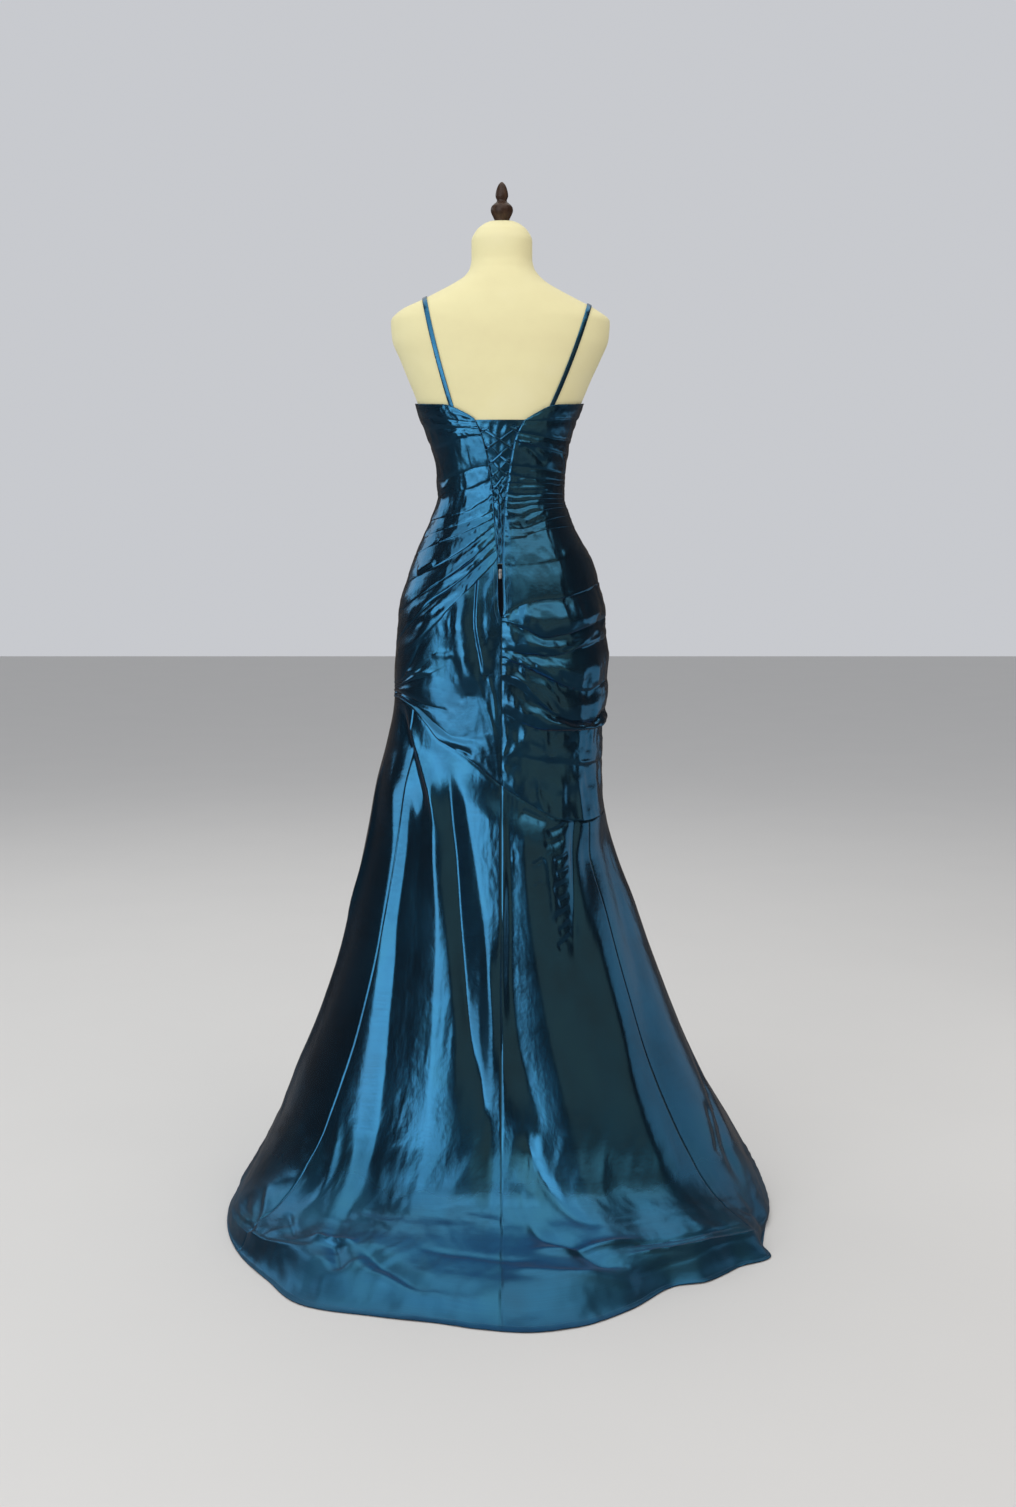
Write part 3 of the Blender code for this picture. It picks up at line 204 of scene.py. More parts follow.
RUNS = read_runs("""
    left foot of the first ridge; 3
      -80 0, -79.5 0, -78.4 0, -77.3 0, -77 0, -76.4 0, -74.5 0, -73 0, -72 0, -71.7 0, -70 0
    crest of the first ridge; 0.8
      -72 0, -64.8 6.8, -60.6 2, -60 1, -57.6 0.5, -55.2 0.5, -52 1, -48.6 2.5, -46.1 3, -40.4 1, -38 0
    hollow right of it; 0.8
      -60 0, -57 -3, -56.6 -8, -56.2 -9.5, -53.8 -10, -51.4 -10, -48.2 -10, -44.8 -9, -42.3 -6, -37.6 -2, -34 0
    right end of the hollow; 1.6
      -56 0, -50 -1, -47.4 -1, -45.6 -0.5, -43.6 -0.5, -42 0, -40 0.5, -38.2 0.5, -37 0, -34.2 0, -31 0
    crest of the second ridge; 0.5
      -50 0, -42.4 8, -38 10.5, -33.2 13, -30.8 15.5, -29 17.5, -27.4 18, -25.2 17, -26 10, -29 3, -28 0
    its soft right side; 1
      -44 0, -38.5 3, -35.3 7, -29.2 9.5, -23.6 12, -19.5 13, -18.9 13.5, -14.8 12.5, -15.9 8, -15.2 -1, -12 0
    floor of the dark hollow; 0.7
      -36 0, -33.8 -4, -28 -5.5, -23.7 -4.5, -19.3 -3, -15 0, -10 4.5, -9.8 9.5, -9.6 6, -8.3 -2, -9 0
    right side of the dark hollow; 1.1
      -32 0, -26.4 5.2, -20.1 7.4, -13.1 13.3, -10 12, -10.6 3.8, -7.8 1, -6.4 5.5, -6.5 4, -6.4 -1.5, -7 0
    ridge left of the seam; 1
      -28 0, -22.8 9.6, -14.8 15.2, -8.8 21.3, -6.2 22, -4.4 17, -5.1 5.8, -4.5 -1.4, -3.9 -1.2, -4.5 -4, -3 0
    seam; 0.8
      -6 0, 0.8 11, 1.2 16, 0.6 22, -0.7 17.7, -0.6 13.2, 1.1 6.9, 0.8 -1.1, 0.6 -0.6, 1.5 -4, 1 0
    hollow right of the seam; 1.2
      4 0, 2.9 7.1, 4.2 10.2, 4.1 7.8, 4.1 2.6, 6.4 1.5, 11.6 1.8, 17.1 3.3, 21.9 4.8, 23.9 2.7, 24 0
    small ridge that runs out to the floor; 1.2
      14 0, 14.1 10.6, 13.9 13.9, 15.7 13, 18.9 9.2, 22.1 9.4, 25 11.4, 26.9 12.8, 26.3 10.9, 27.6 1.2, 30 0
    hollow left of the side panel; 3
      40 0, 38.7 5.8, 38.7 7.9, 39.8 2.8, 41 -3, 40.2 -3, 38.6 -0.5, 37.4 1.1, 37 0.7, 37.1 0.2, 37 0
    left edge of the side panel; 2.2
      62 0, 59.2 -14, 55 -13.9, 51.5 -2.7, 50.5 4, 50.7 9.6, 48.5 15.7, 48.3 18, 49 15.2, 46.1 7.8, 42 0
    middle of the side panel; 4
      72 0, 75.8 -13, 78 -16.2, 74.5 -22, 72.4 -23, 66.7 -18.1, 61 -9.9, 59.8 -6.3, 62.3 -5.3, 63.3 -4.4, 64 0
    side; 3
      92 0, 92 0, 92 0, 92 0, 92 0, 92 0, 92 0, 90 0, 86 0, 82 0, 78 0
""")
TRAIN_LIFT = 0.036       # how far the stiff cloth of the train stands off the floor
FOLD_TOP_SHARE = 0.45
HEM_RISE_SHARE = 0.35

# Lapped pleats of the draped pieces: each line is the edge of a pleat that lies
# over the next, from the centre to the side.
PLEATS = {
    "bodice_back_left": tables("angle height depth", """
    -20 1330.5 0.6, -38 1333 1.2, -60 1340 1.2, -90 1345 0.8
    -20 1319 1.2, -38 1322 1.8, -60 1322 1.6, -90 1322 1.2
    -20 1308 2.8, -38 1307 3.4, -48 1300 3, -62 1294 2.4, -90 1290 2
    -15 1261 0.8, -26 1259 1.8, -38 1252 3.4, -52 1246 4.2, -66 1241 3.6, -90 1238 2.6
    -12 1240 1.4, -22 1232 2, -32 1226 1.4, -50 1219 1, -90 1205 1.6
    -11 1214 2.6, -16 1206 3, -24 1199 2.4, -33 1190 2, -50 1182 1.2, -90 1170 1.8
    -10 1189 2, -15 1184 2.4, -24 1177 1.2, -40 1168 1, -90 1140 1.6
    -9 1177 1.4, -15 1171 1.8, -28 1160 3, -40 1150 2.6, -60 1135 1, -90 1105 1.8
    -8 1164 2.4, -14 1156 4.4, -24 1140 5, -36 1122 4, -46 1108 2.4, -62 1088 1.4, -90 1058 2
    -6 1143 1.6, -14 1131 4, -25 1111 4.8, -38 1088 4.4, -48 1072 3.6, -62 1048 1.8, -90 1008 2.2
    -5 1126 2, -14 1111 3.6, -27 1086 5, -38 1064 5, -50 1043 4, -62 1012 2.4, -90 956 2.4
    """),
    "bodice_back_right": tables("angle height depth", """
    10 1331 0.8, 30 1333 1.8, 60 1338 1.8, 90 1343 1
    9 1317 1.6, 22 1313 2.6, 40 1308 2.6, 60 1305 2.4, 90 1305 1.6
    8 1303 1.4, 22 1296 3.4, 42 1289 3, 60 1284 2.4, 90 1282 1.6
    5 1262 1.4, 22 1260 2.2, 45 1256 2.4, 65 1252 1.6, 90 1250 1.2
    4 1249 1.6, 22 1243 2.4, 42 1240 2.2, 90 1238 1.2
    3 1235 1.4, 22 1233 1.8, 42 1233 1.6, 90 1230 1
    3 1217 1.8, 22 1215 2.2, 42 1216 2.2, 90 1217 1.2
    3 1206 1.4, 15 1204 1.8, 40 1208 1.8, 90 1209 1
    3 1194 1.2, 15 1192 1.6, 32 1199 1.6, 90 1202 1
    3 1180 1, 17 1180 2.2, 36 1188 2.2, 60 1194 1.4, 90 1196 1
    3 1161 0.4, 20 1160 1.6, 40 1171 2, 60 1179 1.4, 90 1184 1
    3 1143 0, 20 1147 1, 38 1157 1.4, 60 1163 1, 90 1166 0.8
    3 1100 0, 28 1104 0.6, 45 1110 1.2, 62 1117 1.4, 90 1126 1
    """),
    "hip_back_right": tables("angle height depth", """
    2 1012 0.4, 15 1001 5.2, 30 985 7, 45 990 8, 62 1003 7, 75 1012 4.4, 90 1018 2
    2 968 0.6, 10 962 4.8, 22 957 5.2, 35 955 3.6, 50 965 2.6, 70 978 1.6, 90 986 1.2
    2 950 0.6, 8 946 3, 20 933 6, 32 918 7.2, 45 903 7, 58 897 5.6, 75 910 3, 90 918 1.6
    2 918 0.4, 12 906 1, 25 880 3, 38 857 4.4, 50 846 4.8, 62 845 4.8, 75 856 3.8, 90 868 2
    2 864 0.4, 8 857 2.4, 18 843 6, 30 834 10, 45 832 12, 60 831 12, 80 833 9, 90 836 6
    2 795 0, 20 790 1, 40 782 2, 60 775 3, 90 778 2.4
    """),
    "hip_back_left": tables("angle height depth", """
    -2 1040 0, -30 1000 0, -60 925 1, -75 905 1.8, -90 899 1.4
    -2 990 0, -30 955 0, -45 930 0.6, -60 914 2, -75 900 2.6, -90 894 1.6
    -2 930 0, -20 900 0, -35 868 0, -50 874 2.6, -62 883 3.6, -75 890.5 3.4, -90 889 1.8
    -2 830 0, -20 822 0, -32 824 0, -45 845 1, -60 873 2.4, -75 884.5 2, -90 884.5 1.4
    """),
}
DEPTH_SHARE = {"bodice_back_left": 0.50, "bodice_back_right": 0.60, "bodice_front": 0.60,
               "hip_back_left": 0.80, "hip_back_right": 0.90, "hip_front": 0.80}
STREAK = {"bodice_back_left": 0.0008, "bodice_back_right": 0.0004, "bodice_front": 0.0006,
          "hip_back_left": 0.0004, "hip_back_right": 0.0022, "hip_front": 0.0010}
TOP_DEPTH = 0.0010       # how far the turned neckline edge stands off
LIP_DEPTH = {            # how far a piece's lower edge stands over the next piece
    "bodice_back_left": table("angle depth", "0 3.4, -30 5.2, -55 4.4, -90 2"),
    "bodice_back_right": table("angle depth", "0 1, 30 1.8, 60 2.4, 90 2"),
    "bodice_front": table("angle depth", "90 2, 180 3.4, 270 2"),
    "hip_back_left": table("angle depth", "0 1.6, -25 3.6, -50 5, -70 4, -90 2"),
    "hip_back_right": table("angle depth", "0 0.8, 30 1.2, 60 1.8, 90 1.6"),
    "hip_front": table("angle depth", "90 1.6, 180 3, 270 2"),
}
# Where a pleat's cloth rounds over to its edge, as a share of the pleat.
ROLL = {"bodice_back_left": 0.20, "bodice_back_right": 0.16, "hip_back_right": 0.34, "hip_back_left": 0.24,
        "bodice_front": 0.22, "hip_front": 0.30}

# Single creases: rise, width on the left and on the right of the way along it,
# and the way. Written left to right, left of it is above.
CREASES = {
    "bodice_back_left": ways("angle height", """
    3 7 4: -69 1090, -62 1098, -53 1109
    2 5 3: -50 1066, -38 1084, -26 1102, -18 1121
    -1.6 4 4: -46 1056, -36 1075, -24 1094, -16 1106
    1.8 4 3: -40 1100, -30 1118, -20 1136, -13 1148
    2 6 3: -58 1010, -50 1024, -40 1047, -30 1066
    -2 5 3: -62 1000, -54 1012, -46 1027, -40 1034
    1.6 5 2: -17 1109, -12 1122, -7 1131
    1.4 6 3: -88 1215, -70 1222, -56 1232
    1.2 4 2: -44 1346, -36 1343, -26 1336
    2.2 9 5: -78 955, -70 966, -60 975, -48 1004
    """),
    "bodice_back_right": ways("angle height", """
    -2.4 5 4: 18 1299, 28 1286, 38 1271, 46 1266
    2.2 3 5: 16 1298, 22 1297.5, 28 1296
    1.4 4 2: 50 1119, 60 1128, 72 1140
    1.2 4 2: 24 1171, 34 1180, 46 1192
    1 3 2: 18 1226, 34 1226, 52 1225
    -1.8 5 5: 44 1060, 54 1066, 64 1075
    1.2 4 2: 60 1290, 72 1270, 78 1245
    """),
    "hip_back_left": ways("angle height", """
    7.5 22 18: -31 1110, -29.5 1040, -28 980, -24 930, -20 890
    -3 2 10: -20 1110, -19.5 1040, -19 1000, -16 960, -13 925
    2.6 10 2: -19 1110, -18.5 1040, -18 1000, -15 960, -12 925
    1.2 3 1.5: -20 930, -14 890, -8 850, -5 820
    1.2 3 1.5: -10 925, -6 885, -4.5 850
    1 10 6: -11 1080, -11 1020, -9 960
    1.6 6 2: -72 924, -58 926, -44 925
    1.4 5 2: -48 956, -40 955, -32 957
    -4 6 5: -44 812, -34 806, -26 800, -20 790
    2.6 5 3: -58 862, -50 834, -40 812, -30 796, -16 772
    -3 6 6: -82 886, -76 886, -71 884
    """),
    "hip_back_right": ways("angle height", """
    -2.2 4 4: 38 1043, 46 1038, 54 1033, 60 1032
    1.6 6 3: 20 1038, 27 1032, 36 1030
    -2 4 5: 14 957, 18 948, 24 938
    2.4 6 4: 10 982, 22 974, 34 969, 50 972, 66 985
    2 7 4: 30 944, 42 932, 56 926, 72 936
    -2.2 5 5: 36 926, 46 913, 60 905, 68 902
    2 6 4: 36 1016, 50 1013, 64 1022, 76 1032
    2.2 5 5: 8 930, 18 905, 30 873, 42 852
    -1.6 4 4: 10 900, 18 878, 28 858, 40 845
    -2.4 10 8: 44 810, 60 802, 80 798
    -2.6 5 6: 58 738, 68 748, 78 760
    2.4 8 8: 30 735, 46 742, 60 760
    """),
    "bodice_front": (),
    "hip_front": (),
}
SKIRT_CREASES = ways("angle height", """
    -7 10 12: -72 876, -66 835, -59 790, -52 735, -47 690
    4 6 4: -66 866, -58 815, -50 765, -43 720, -38 660
    4 6 6: -79 800, -78 720, -77 650, -79 560, -82 500
    -3 8 8: 12 705, 20 695, 30 684
    -6 9 14: 52 720, 49 670, 45 620, 42 560, 39.5 500, 38 450
    -2.6 4 6: 28 668, 36 672, 44 682
    -2.2 4 5: 25 650, 33 651, 40 658
    -2.4 4 5: 30 622, 36 626, 42 634
    -2 4 5: 31 600, 36 604, 41 611
    -2.4 4 5: 28 576, 34 582, 40 591
    -2 4 5: 31 554, 35 559, 39 566
    -2.4 4 5: 28 530, 33 536, 38.5 545
    -2.2 4 5: 30 508, 34 513, 38 521
    -2.6 4 6: 29 482, 33 490, 37.5 500
    -1.6 4 5: 17 616, 21 621, 25 630
    -1.4 4 5: 17 578, 20 583, 24 591
    3 10 6: 27 640, 27.5 600, 28 560, 28 520
    9 8 12: -43 60, -40 57, -36 58, -32 60
    -9 11 12: -38 56, -36 50, -33 36, -31 24
    -9 14 10: -31 56, -25 38, -19 26, -13 14
    8 16 9: -28 30, -20 20, -10 14, 2 20
    -11 14 12: 8 100, 10 80, 16 66, 19 50, 22 36, 30 26
    8 12 10: 6 66, 14 60, 22 60, 34 62
    -3.6 6 7: 24 58, 34 54, 46 52, 60 56
    6.6 11 7: 26 42, 38 36, 52 34, 64 40
    -3.6 7 7: 22 20, 34 20, 46 28, 58 34
    6 12 8: 0 44, 10 36, 20 24, 28 12
    -3 6 6: 64 72, 68 60, 71 50
    -4 10 8: 78 200, 74 150, 70 118
    3 7 6: -12 102, -6 98, 2 94
    -7 12 12: 9 200, 11 160, 14 125, 20 98, 26 80
    4 10 6: -70 100, -62 70, -58 40, -58 16
    -4 8 10: -56 80, -50 60, -46 44
    3 8 8: -66 32, -54 30, -46 34, -40 42
    -3 8 8: -20 62, -10 56, 0 54, 10 50
    -4 10 10: 100 420, 98 300, 94 200, 88 130
    4 10 10: 140 560, 142 400, 146 260, 150 140
    -4 10 10: -150 560, -146 400, -144 260, -140 140
    3.6 10 10: -176 500, -178 360, -179 240, -178 120
""")


class GownSizes(bpy.types.PropertyGroup):
    """Sizes of the finished gown that a user would change."""
    cloth: FloatProperty(name="Cloth thickness", description="Thickness of the taffeta shells",
                         default=0.0010, min=0.0004, max=0.0018, unit="LENGTH", precision=5)
    pleat_scale: FloatProperty(name="Pleat depth", description="Depth of all pleats, as a share of their own",
                               default=1.0, min=0.2, max=1.6, subtype="FACTOR")
    crumple: FloatProperty(name="Crumple", description="Height of the small irregular creases",
                           default=0.0006, min=0.0, max=0.002, unit="LENGTH", precision=5)
    column: FloatProperty(name="Column", description="Angle between two columns of a body shell",
                          default=math.radians(0.75), unit="ROTATION")
    cord: FloatProperty(name="Rouleau", description="Diameter of the edge cord at the neckline and opening",
                        default=0.0019, unit="LENGTH", precision=5)
    stitch: FloatProperty(name="Stitch length", description="Length of one stitch and its gap",
                          default=0.0040, unit="LENGTH", precision=5)
    teeth: IntProperty(name="Zip teeth", description="Teeth on each side of the zip below the slider",
                       default=38, min=10, max=80)


class GownColours(bpy.types.PropertyGroup):
    """Colours of the finishes."""
    taffeta: FloatVectorProperty(name="Taffeta", description="Blue of the warp",
                                 subtype="COLOR", size=3, default=(0.042, 0.200, 0.370))
    weft: FloatVectorProperty(name="Weft", description="Dark thread across the blue one",
                              subtype="COLOR", size=3, default=(0.030, 0.026, 0.022))
    cover: FloatVectorProperty(name="Form cover", description="Cream jersey of the form",
                               subtype="COLOR", size=3, default=(0.765, 0.705, 0.395))
    wood: FloatVectorProperty(name="Wood", description="Stained wood of the stand",
                              subtype="COLOR", size=3, default=(0.050, 0.026, 0.016))
    metal: FloatVectorProperty(name="Zip metal", description="Slider, pull and teeth",
                               subtype="COLOR", size=3, default=(0.38, 0.41, 0.44))
    floor: FloatVectorProperty(name="Floor", description="Plain pale floor",
                               subtype="COLOR", size=3, default=(0.66, 0.65, 0.63))


# ---------------------------------------------------------------- surfaces
def smooth(columns, x_name, y_name, at):
    """A smooth curve through a table's points, read at one place or many."""
    xs, ys = columns[x_name], columns[y_name]
    runs = np.diff(ys) / np.diff(xs)
    same_way = runs[:-1] * runs[1:] > 0
    bends = np.where(same_way, 2 * runs[:-1] * runs[1:] / np.where(same_way, runs[:-1] + runs[1:], 1), 0)
    slopes = np.concatenate([runs[:1], bends, runs[-1:]])
    at = np.clip(at, xs[0], xs[-1])
    i = np.clip(np.searchsorted(xs, at) - 1, 0, len(xs) - 2)
    span = xs[i + 1] - xs[i]
    t = (at - xs[i]) / span
    return ((1 + 2 * t) * (1 - t) ** 2 * ys[i] + t * (1 - t) ** 2 * span * slopes[i]
            + t * t * (3 - 2 * t) * ys[i + 1] + t * t * (t - 1) * span * slopes[i + 1])


def ease_in(t):
    """0 to 1 with a soft start and end."""
    t = np.clip(t, 0.0, 1.0)
    return t * t * (3 - 2 * t)


def turned(angle):
    """The same direction between -180 and 180 degrees."""
    return (np.asarray(angle) + 180) % 360 - 180


def oval(angle, left, right, back, front):
    """Distance from the pole to a rounded oval with four different half-sizes."""
    across, along = np.sin(np.radians(angle)), np.cos(np.radians(angle))
    wide = np.where(across >= 0, right, left)
    deep = np.where(along >= 0, back, front)
    spread = (np.abs(across) / wide) ** SQUARENESS + (np.abs(along) / deep) ** SQUARENESS
    return spread ** (-1 / SQUARENESS)


def section(sections, angle, height):
    """Distance from the pole to the cross-section at each height."""
    return oval(angle, *(smooth(sections, "height", name, height) for name in SECTION.split()[1:]))


def bust_rise(angle, height):
    """Two soft cups at the front of the form and of the gown on it."""
    off_front = 180 - np.abs(turned(angle))
    across = np.radians(off_front - BUST["angle"]) * 0.13
    up = np.asarray(height) - BUST["height"]
    return BUST["rise"] * np.exp(-(across / BUST["spread"]) ** 2 - (up / BUST["tall"]) ** 2)


def torso_reach(angle, height):
    return section(TORSO, angle, height) + bust_rise(angle, height)


def gown_reach(angle, height):
    """The gown's smooth outer face above the floor, without its folds."""
    in_front = ease_in((np.abs(turned(angle)) - SIDE_SEAM) / 30)
    fitted = torso_reach(angle, np.maximum(height, FORM_BASE)) + EASE + WALL + FRONT_EASE * in_front
    flared = section(SKIRT, angle, np.clip(height, BREAK, 1.06))
    low, high = BODY_BLEND
    share = ease_in((np.asarray(height) - low) / (high - low))
    return share * fitted + (1 - share) * flared


def landing_reach(angle):
    """Where the skirt would meet the floor if it went on at its lowest slope."""
    low, above = gown_reach(angle, BREAK), gown_reach(angle, BREAK + SLOPE_STEP)
    return low + (low - above) * BREAK / SLOPE_STEP


def round_pole(angle, reach, height):
    """Points at an angle round the pole, a reach from it, at a height."""
    return np.stack([reach * np.sin(np.radians(angle)), -reach * np.cos(np.radians(angle)), height], axis=-1)


def gown_point(angle, height, rise, thickness):
    """Outer and inner points of the gown; rise lifts a fold off the smooth face.

    Above BREAK height is the real height. Below it the cloth turns out along the
    floor, and height only counts down to 0 at the hem.
    """
    angle, height, rise = np.broadcast_arrays(angle, height, rise)
    start = gown_reach(angle, np.maximum(height, BREAK))
    turn = np.clip(1 - height / BREAK, 0, 1)
    landing, hem = landing_reach(angle), smooth(HEM, "angle", "reach", turned(angle))
    reach = (1 - turn) ** 2 * start + 2 * turn * (1 - turn) * landing + turn ** 2 * hem
    drop = BREAK * (1 - turn) ** 2 + WALL * ease_in(2 * turn)
    level = np.where(height >= BREAK, height, drop)
    out_step = (1 - turn) * (landing - start) + turn * (hem - landing)
    down_step = BREAK * (1 - turn)
    length = np.hypot(out_step, down_step)
    steer = ease_in(3 * turn)
    out = 1 - steer + steer * down_step / length
    up = steer * out_step / length
    scale = np.hypot(out, up)
    out, up = out / scale, up / scale
    lift = np.where(rise < 0, rise * (1 - ease_in(1.6 * up)), rise)
    return [round_pole(angle, reach + offset * out, np.maximum(level + offset * up, 0.0))
            for offset in (lift, lift - thickness)]


def edge_angle(side, height):
    """Angle of the back opening's left or right edge at a height."""
    x = smooth(OPENING, "height", side, height)
    return np.degrees(np.arcsin(x / smooth(TORSO, "height", "back", np.maximum(height, FORM_BASE))))


def seam(edge, angle):
    """Height of a seam or an edge at each angle."""
    return smooth(edge, "angle", "height", angle)


def round_seam(sides, angle):
    """Height of a seam that runs all round."""
    angle = turned(angle)
    return np.where(angle < 0, seam(sides["left"], angle), seam(sides["right"], angle))


FLOOR_STRETCH = 2.4      # cloth on the floor for each step of its height down to the hem


def cloth_run(height):
    """Distance along the cloth, about, for a height that counts down to the hem."""
    return np.where(height >= BREAK, height, BREAK - (BREAK - height) * FLOOR_STRETCH)


# ---------------------------------------------------------------- relief
NOISE_ROWS = 97


def lattice_noise(u, v, cells_round, seed):
    """Smooth noise from -1 to 1; u goes once round in cells_round cells."""
    values = np.random.default_rng(seed).uniform(-1, 1, (cells_round, NOISE_ROWS))
    i, j = np.floor(u).astype(int), np.floor(v).astype(int)
    s, t = ease_in(u - i), ease_in(v - j)

    def at(a, b):
        return values[a % cells_round, b % NOISE_ROWS]
    low = at(i, j) * (1 - s) + at(i + 1, j) * s
    high = at(i, j + 1) * (1 - s) + at(i + 1, j + 1) * s
    return low * (1 - t) + high * t


def crumple(angle, height, around, tall, seed):
    """Small sharp creases, about -1 to 1: around cells round the gown, tall metres high."""
    run = cloth_run(height)
    drift = lattice_noise(angle / 360 * 16, run / 0.11, 16, seed + 1)
    u = angle / 360 * around + drift * 0.9
    v = run / tall + drift * 0.7
    broad = 1 - 2 * np.abs(lattice_noise(u, v, around, seed))
    fine = 1 - 2 * np.abs(lattice_noise(u * 2 + 0.37, v * 2.3, around * 2, seed + 2))
    where = ease_in(0.5 + lattice_noise(angle / 360 * 12, run / 0.17, 12, seed + 3))
    return (broad * 0.7 + fine * 0.3) * (0.35 + 0.65 * where)


def crease(angle, height, rise, left, right, way):
    """Rise of one crease: full along the middle of its way, nothing at its ends."""
    reach = gown_reach(angle, np.maximum(height, BREAK))
    stretch = np.where(height >= BREAK, 1.0, FLOOR_STRETCH)
    places = round_corners(np.array(way, dtype=float), 4)
    nearest = np.full(angle.shape, 1e9)
    side = np.zeros(angle.shape)
    along = np.zeros(angle.shape)
    count = len(places) - 1
    for k, ((a0, h0), (a1, h1)) in enumerate(zip(places, places[1:])):
        ax, ay = np.radians(turned(a0 - angle)) * reach, (h0 - height) * stretch
        dx, dy = np.radians(a1 - a0) * reach, (h1 - h0) * stretch
        t = np.clip(-(ax * dx + ay * dy) / (dx * dx + dy * dy), 0, 1)
        px, py = ax + t * dx, ay + t * dy
        distance = np.hypot(px, py)
        nearer = distance < nearest
        nearest = np.where(nearer, distance, nearest)
        side = np.where(nearer, dy * px - dx * py, side)
        along = np.where(nearer, (k + t) / count, along)
    width = np.where(side > 0, left, right)
    ends = ease_in(along / 0.25) * ease_in((1 - along) / 0.25)
    return rise * ends * np.exp(-(nearest / width) ** 1.6)


def round_corners(keys, steps):
    """More points on a smooth curve through the given ones."""
    before = np.concatenate([keys[:1], keys[:-1]])
    after = np.concatenate([keys[1:], keys[-1:]])
    beyond = np.concatenate([keys[2:], keys[-1:], keys[-1:]])
    out = []
    for k in range(len(keys) - 1):
        for t in np.arange(steps) / steps:
            out.append(0.5 * (2 * keys[k] + (after[k] - before[k]) * t
                              + (2 * before[k] - 5 * keys[k] + 4 * after[k] - beyond[k]) * t * t
                              + (3 * keys[k] - before[k] - 3 * after[k] + beyond[k]) * t ** 3))
    return np.array(out + [keys[-1]])


def all_creases(creases, angle, height):
    total = np.zeros(angle.shape)
    for rise, left, right, way in creases:
        total += crease(angle, height, rise, left, right, way)
    return total


def skirt_rise(angle, height):
    """All skirt folds together at each point."""
    total = np.zeros(np.broadcast(angle, height).shape)
    reach = np.where(height > BREAK, gown_reach(angle, np.maximum(height, BREAK)), landing_reach(angle))
    for rise, left, right, course in FOLDS:
        places = by_column("height angle", course)
        top = places["height"][-1]
        middle = smooth(places, "height", "angle", height)
        away = np.radians(turned(angle - middle)) * reach
        fallen = np.clip((top - height) / top, 0, 1)
        spread = np.where(away < 0, left, right)
        spread = spread * (FOLD_TOP_SHARE + (1 - FOLD_TOP_SHARE) * fallen)
        grown = ease_in(fallen * 2.2) * (1 - (1 - HEM_RISE_SHARE) * ease_in(1 - height / 0.05))
        total = total + rise * grown * np.exp(-np.abs(away / spread) ** 1.7)
    return total


def run_rise(angle, height):
    """Crests and hollows with stiff, nearly flat cloth between them."""
    angle = turned(angle)
    places = [smooth(rows, "height", "angle", height) for _, rows in RUNS]
    rises = [smooth(rows, "height", "rise", height) * 0.001 for _, rows in RUNS]
    slopes = [(b - a) / np.maximum(q - p, 0.8) for a, b, p, q in zip(rises, rises[1:], places, places[1:])]
    total = rises[0] + np.zeros(angle.shape)
    for (roundness, _), place_now, before, after in zip(RUNS, places, [0] + slopes, slopes + [0]):
        past = angle - place_now
        total = total + (after - before) * (past + np.hypot(past, roundness)) / 2
    return total


def train_lift(angle, height):
    """The stiff cloth of the train arches between the skirt and the hem."""
    behind = ease_in((92 - np.abs(turned(angle))) / 56)
    return TRAIN_LIFT * behind * ease_in(height / 0.034) * ease_in((BREAK - height) / 0.080)


def lap(u, roll):
    """A pleat's height from under the last edge (u = 0) to over its own (u = 1)."""
    over = np.clip((u - (1 - roll)) / roll, 0, 1)
    return ease_in(u / 0.55) * np.sqrt(np.maximum(1 - over ** 2, 0))


# ---------------------------------------------------------------- meshes
def sizes():
    return bpy.context.scene.gown_sizes


def place(thing, *, body=GOWN, replaces=(), slot=None):
    """Rides the piece on a body and hides the solids that it stands for."""
    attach(thing, body)
    if replaces:
        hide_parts(*replaces)


SHELL_EDGE, ROUND_EDGE, LATHE_EDGE, GROWN_EDGE = 62, 60, 40, 50    # degrees over which edges stay crisp


def linked(name, data):
    """A new object of the scene."""
    thing = bpy.data.objects.new(name, data)
    bpy.context.scene.collection.objects.link(thing)
    return thing


def crisp(mesh, degrees):
    """Smooths a mesh but for its edges over some degrees."""
    mesh.shade_smooth()
    mesh.set_sharp_from_angle(angle=math.radians(degrees))


def set_uv(mesh, of_vertices):
    """Gives a mesh the cloth's UV map, in metres, from one place for each vertex."""
    corner = np.empty(len(mesh.loops), dtype=np.int32)
    mesh.loops.foreach_get("vertex_index", corner)
    layer = mesh.uv_layers.get("cloth") or mesh.uv_layers.new(name="cloth")
    layer.data.foreach_set("uv", np.asarray(of_vertices, dtype=np.float32)[corner].ravel())


def mesh_object(name, points, faces, material, sharp, uv=None):
    """A smooth mesh object; edges over sharp degrees stay crisp."""
    mesh = bpy.data.meshes.new(name)
    mesh.from_pydata(np.asarray(points).tolist(), [], faces)
    if uv is not None:
        set_uv(mesh, uv)
    crisp(mesh, sharp)
    mesh.materials.append(material)
    return linked(name, mesh)


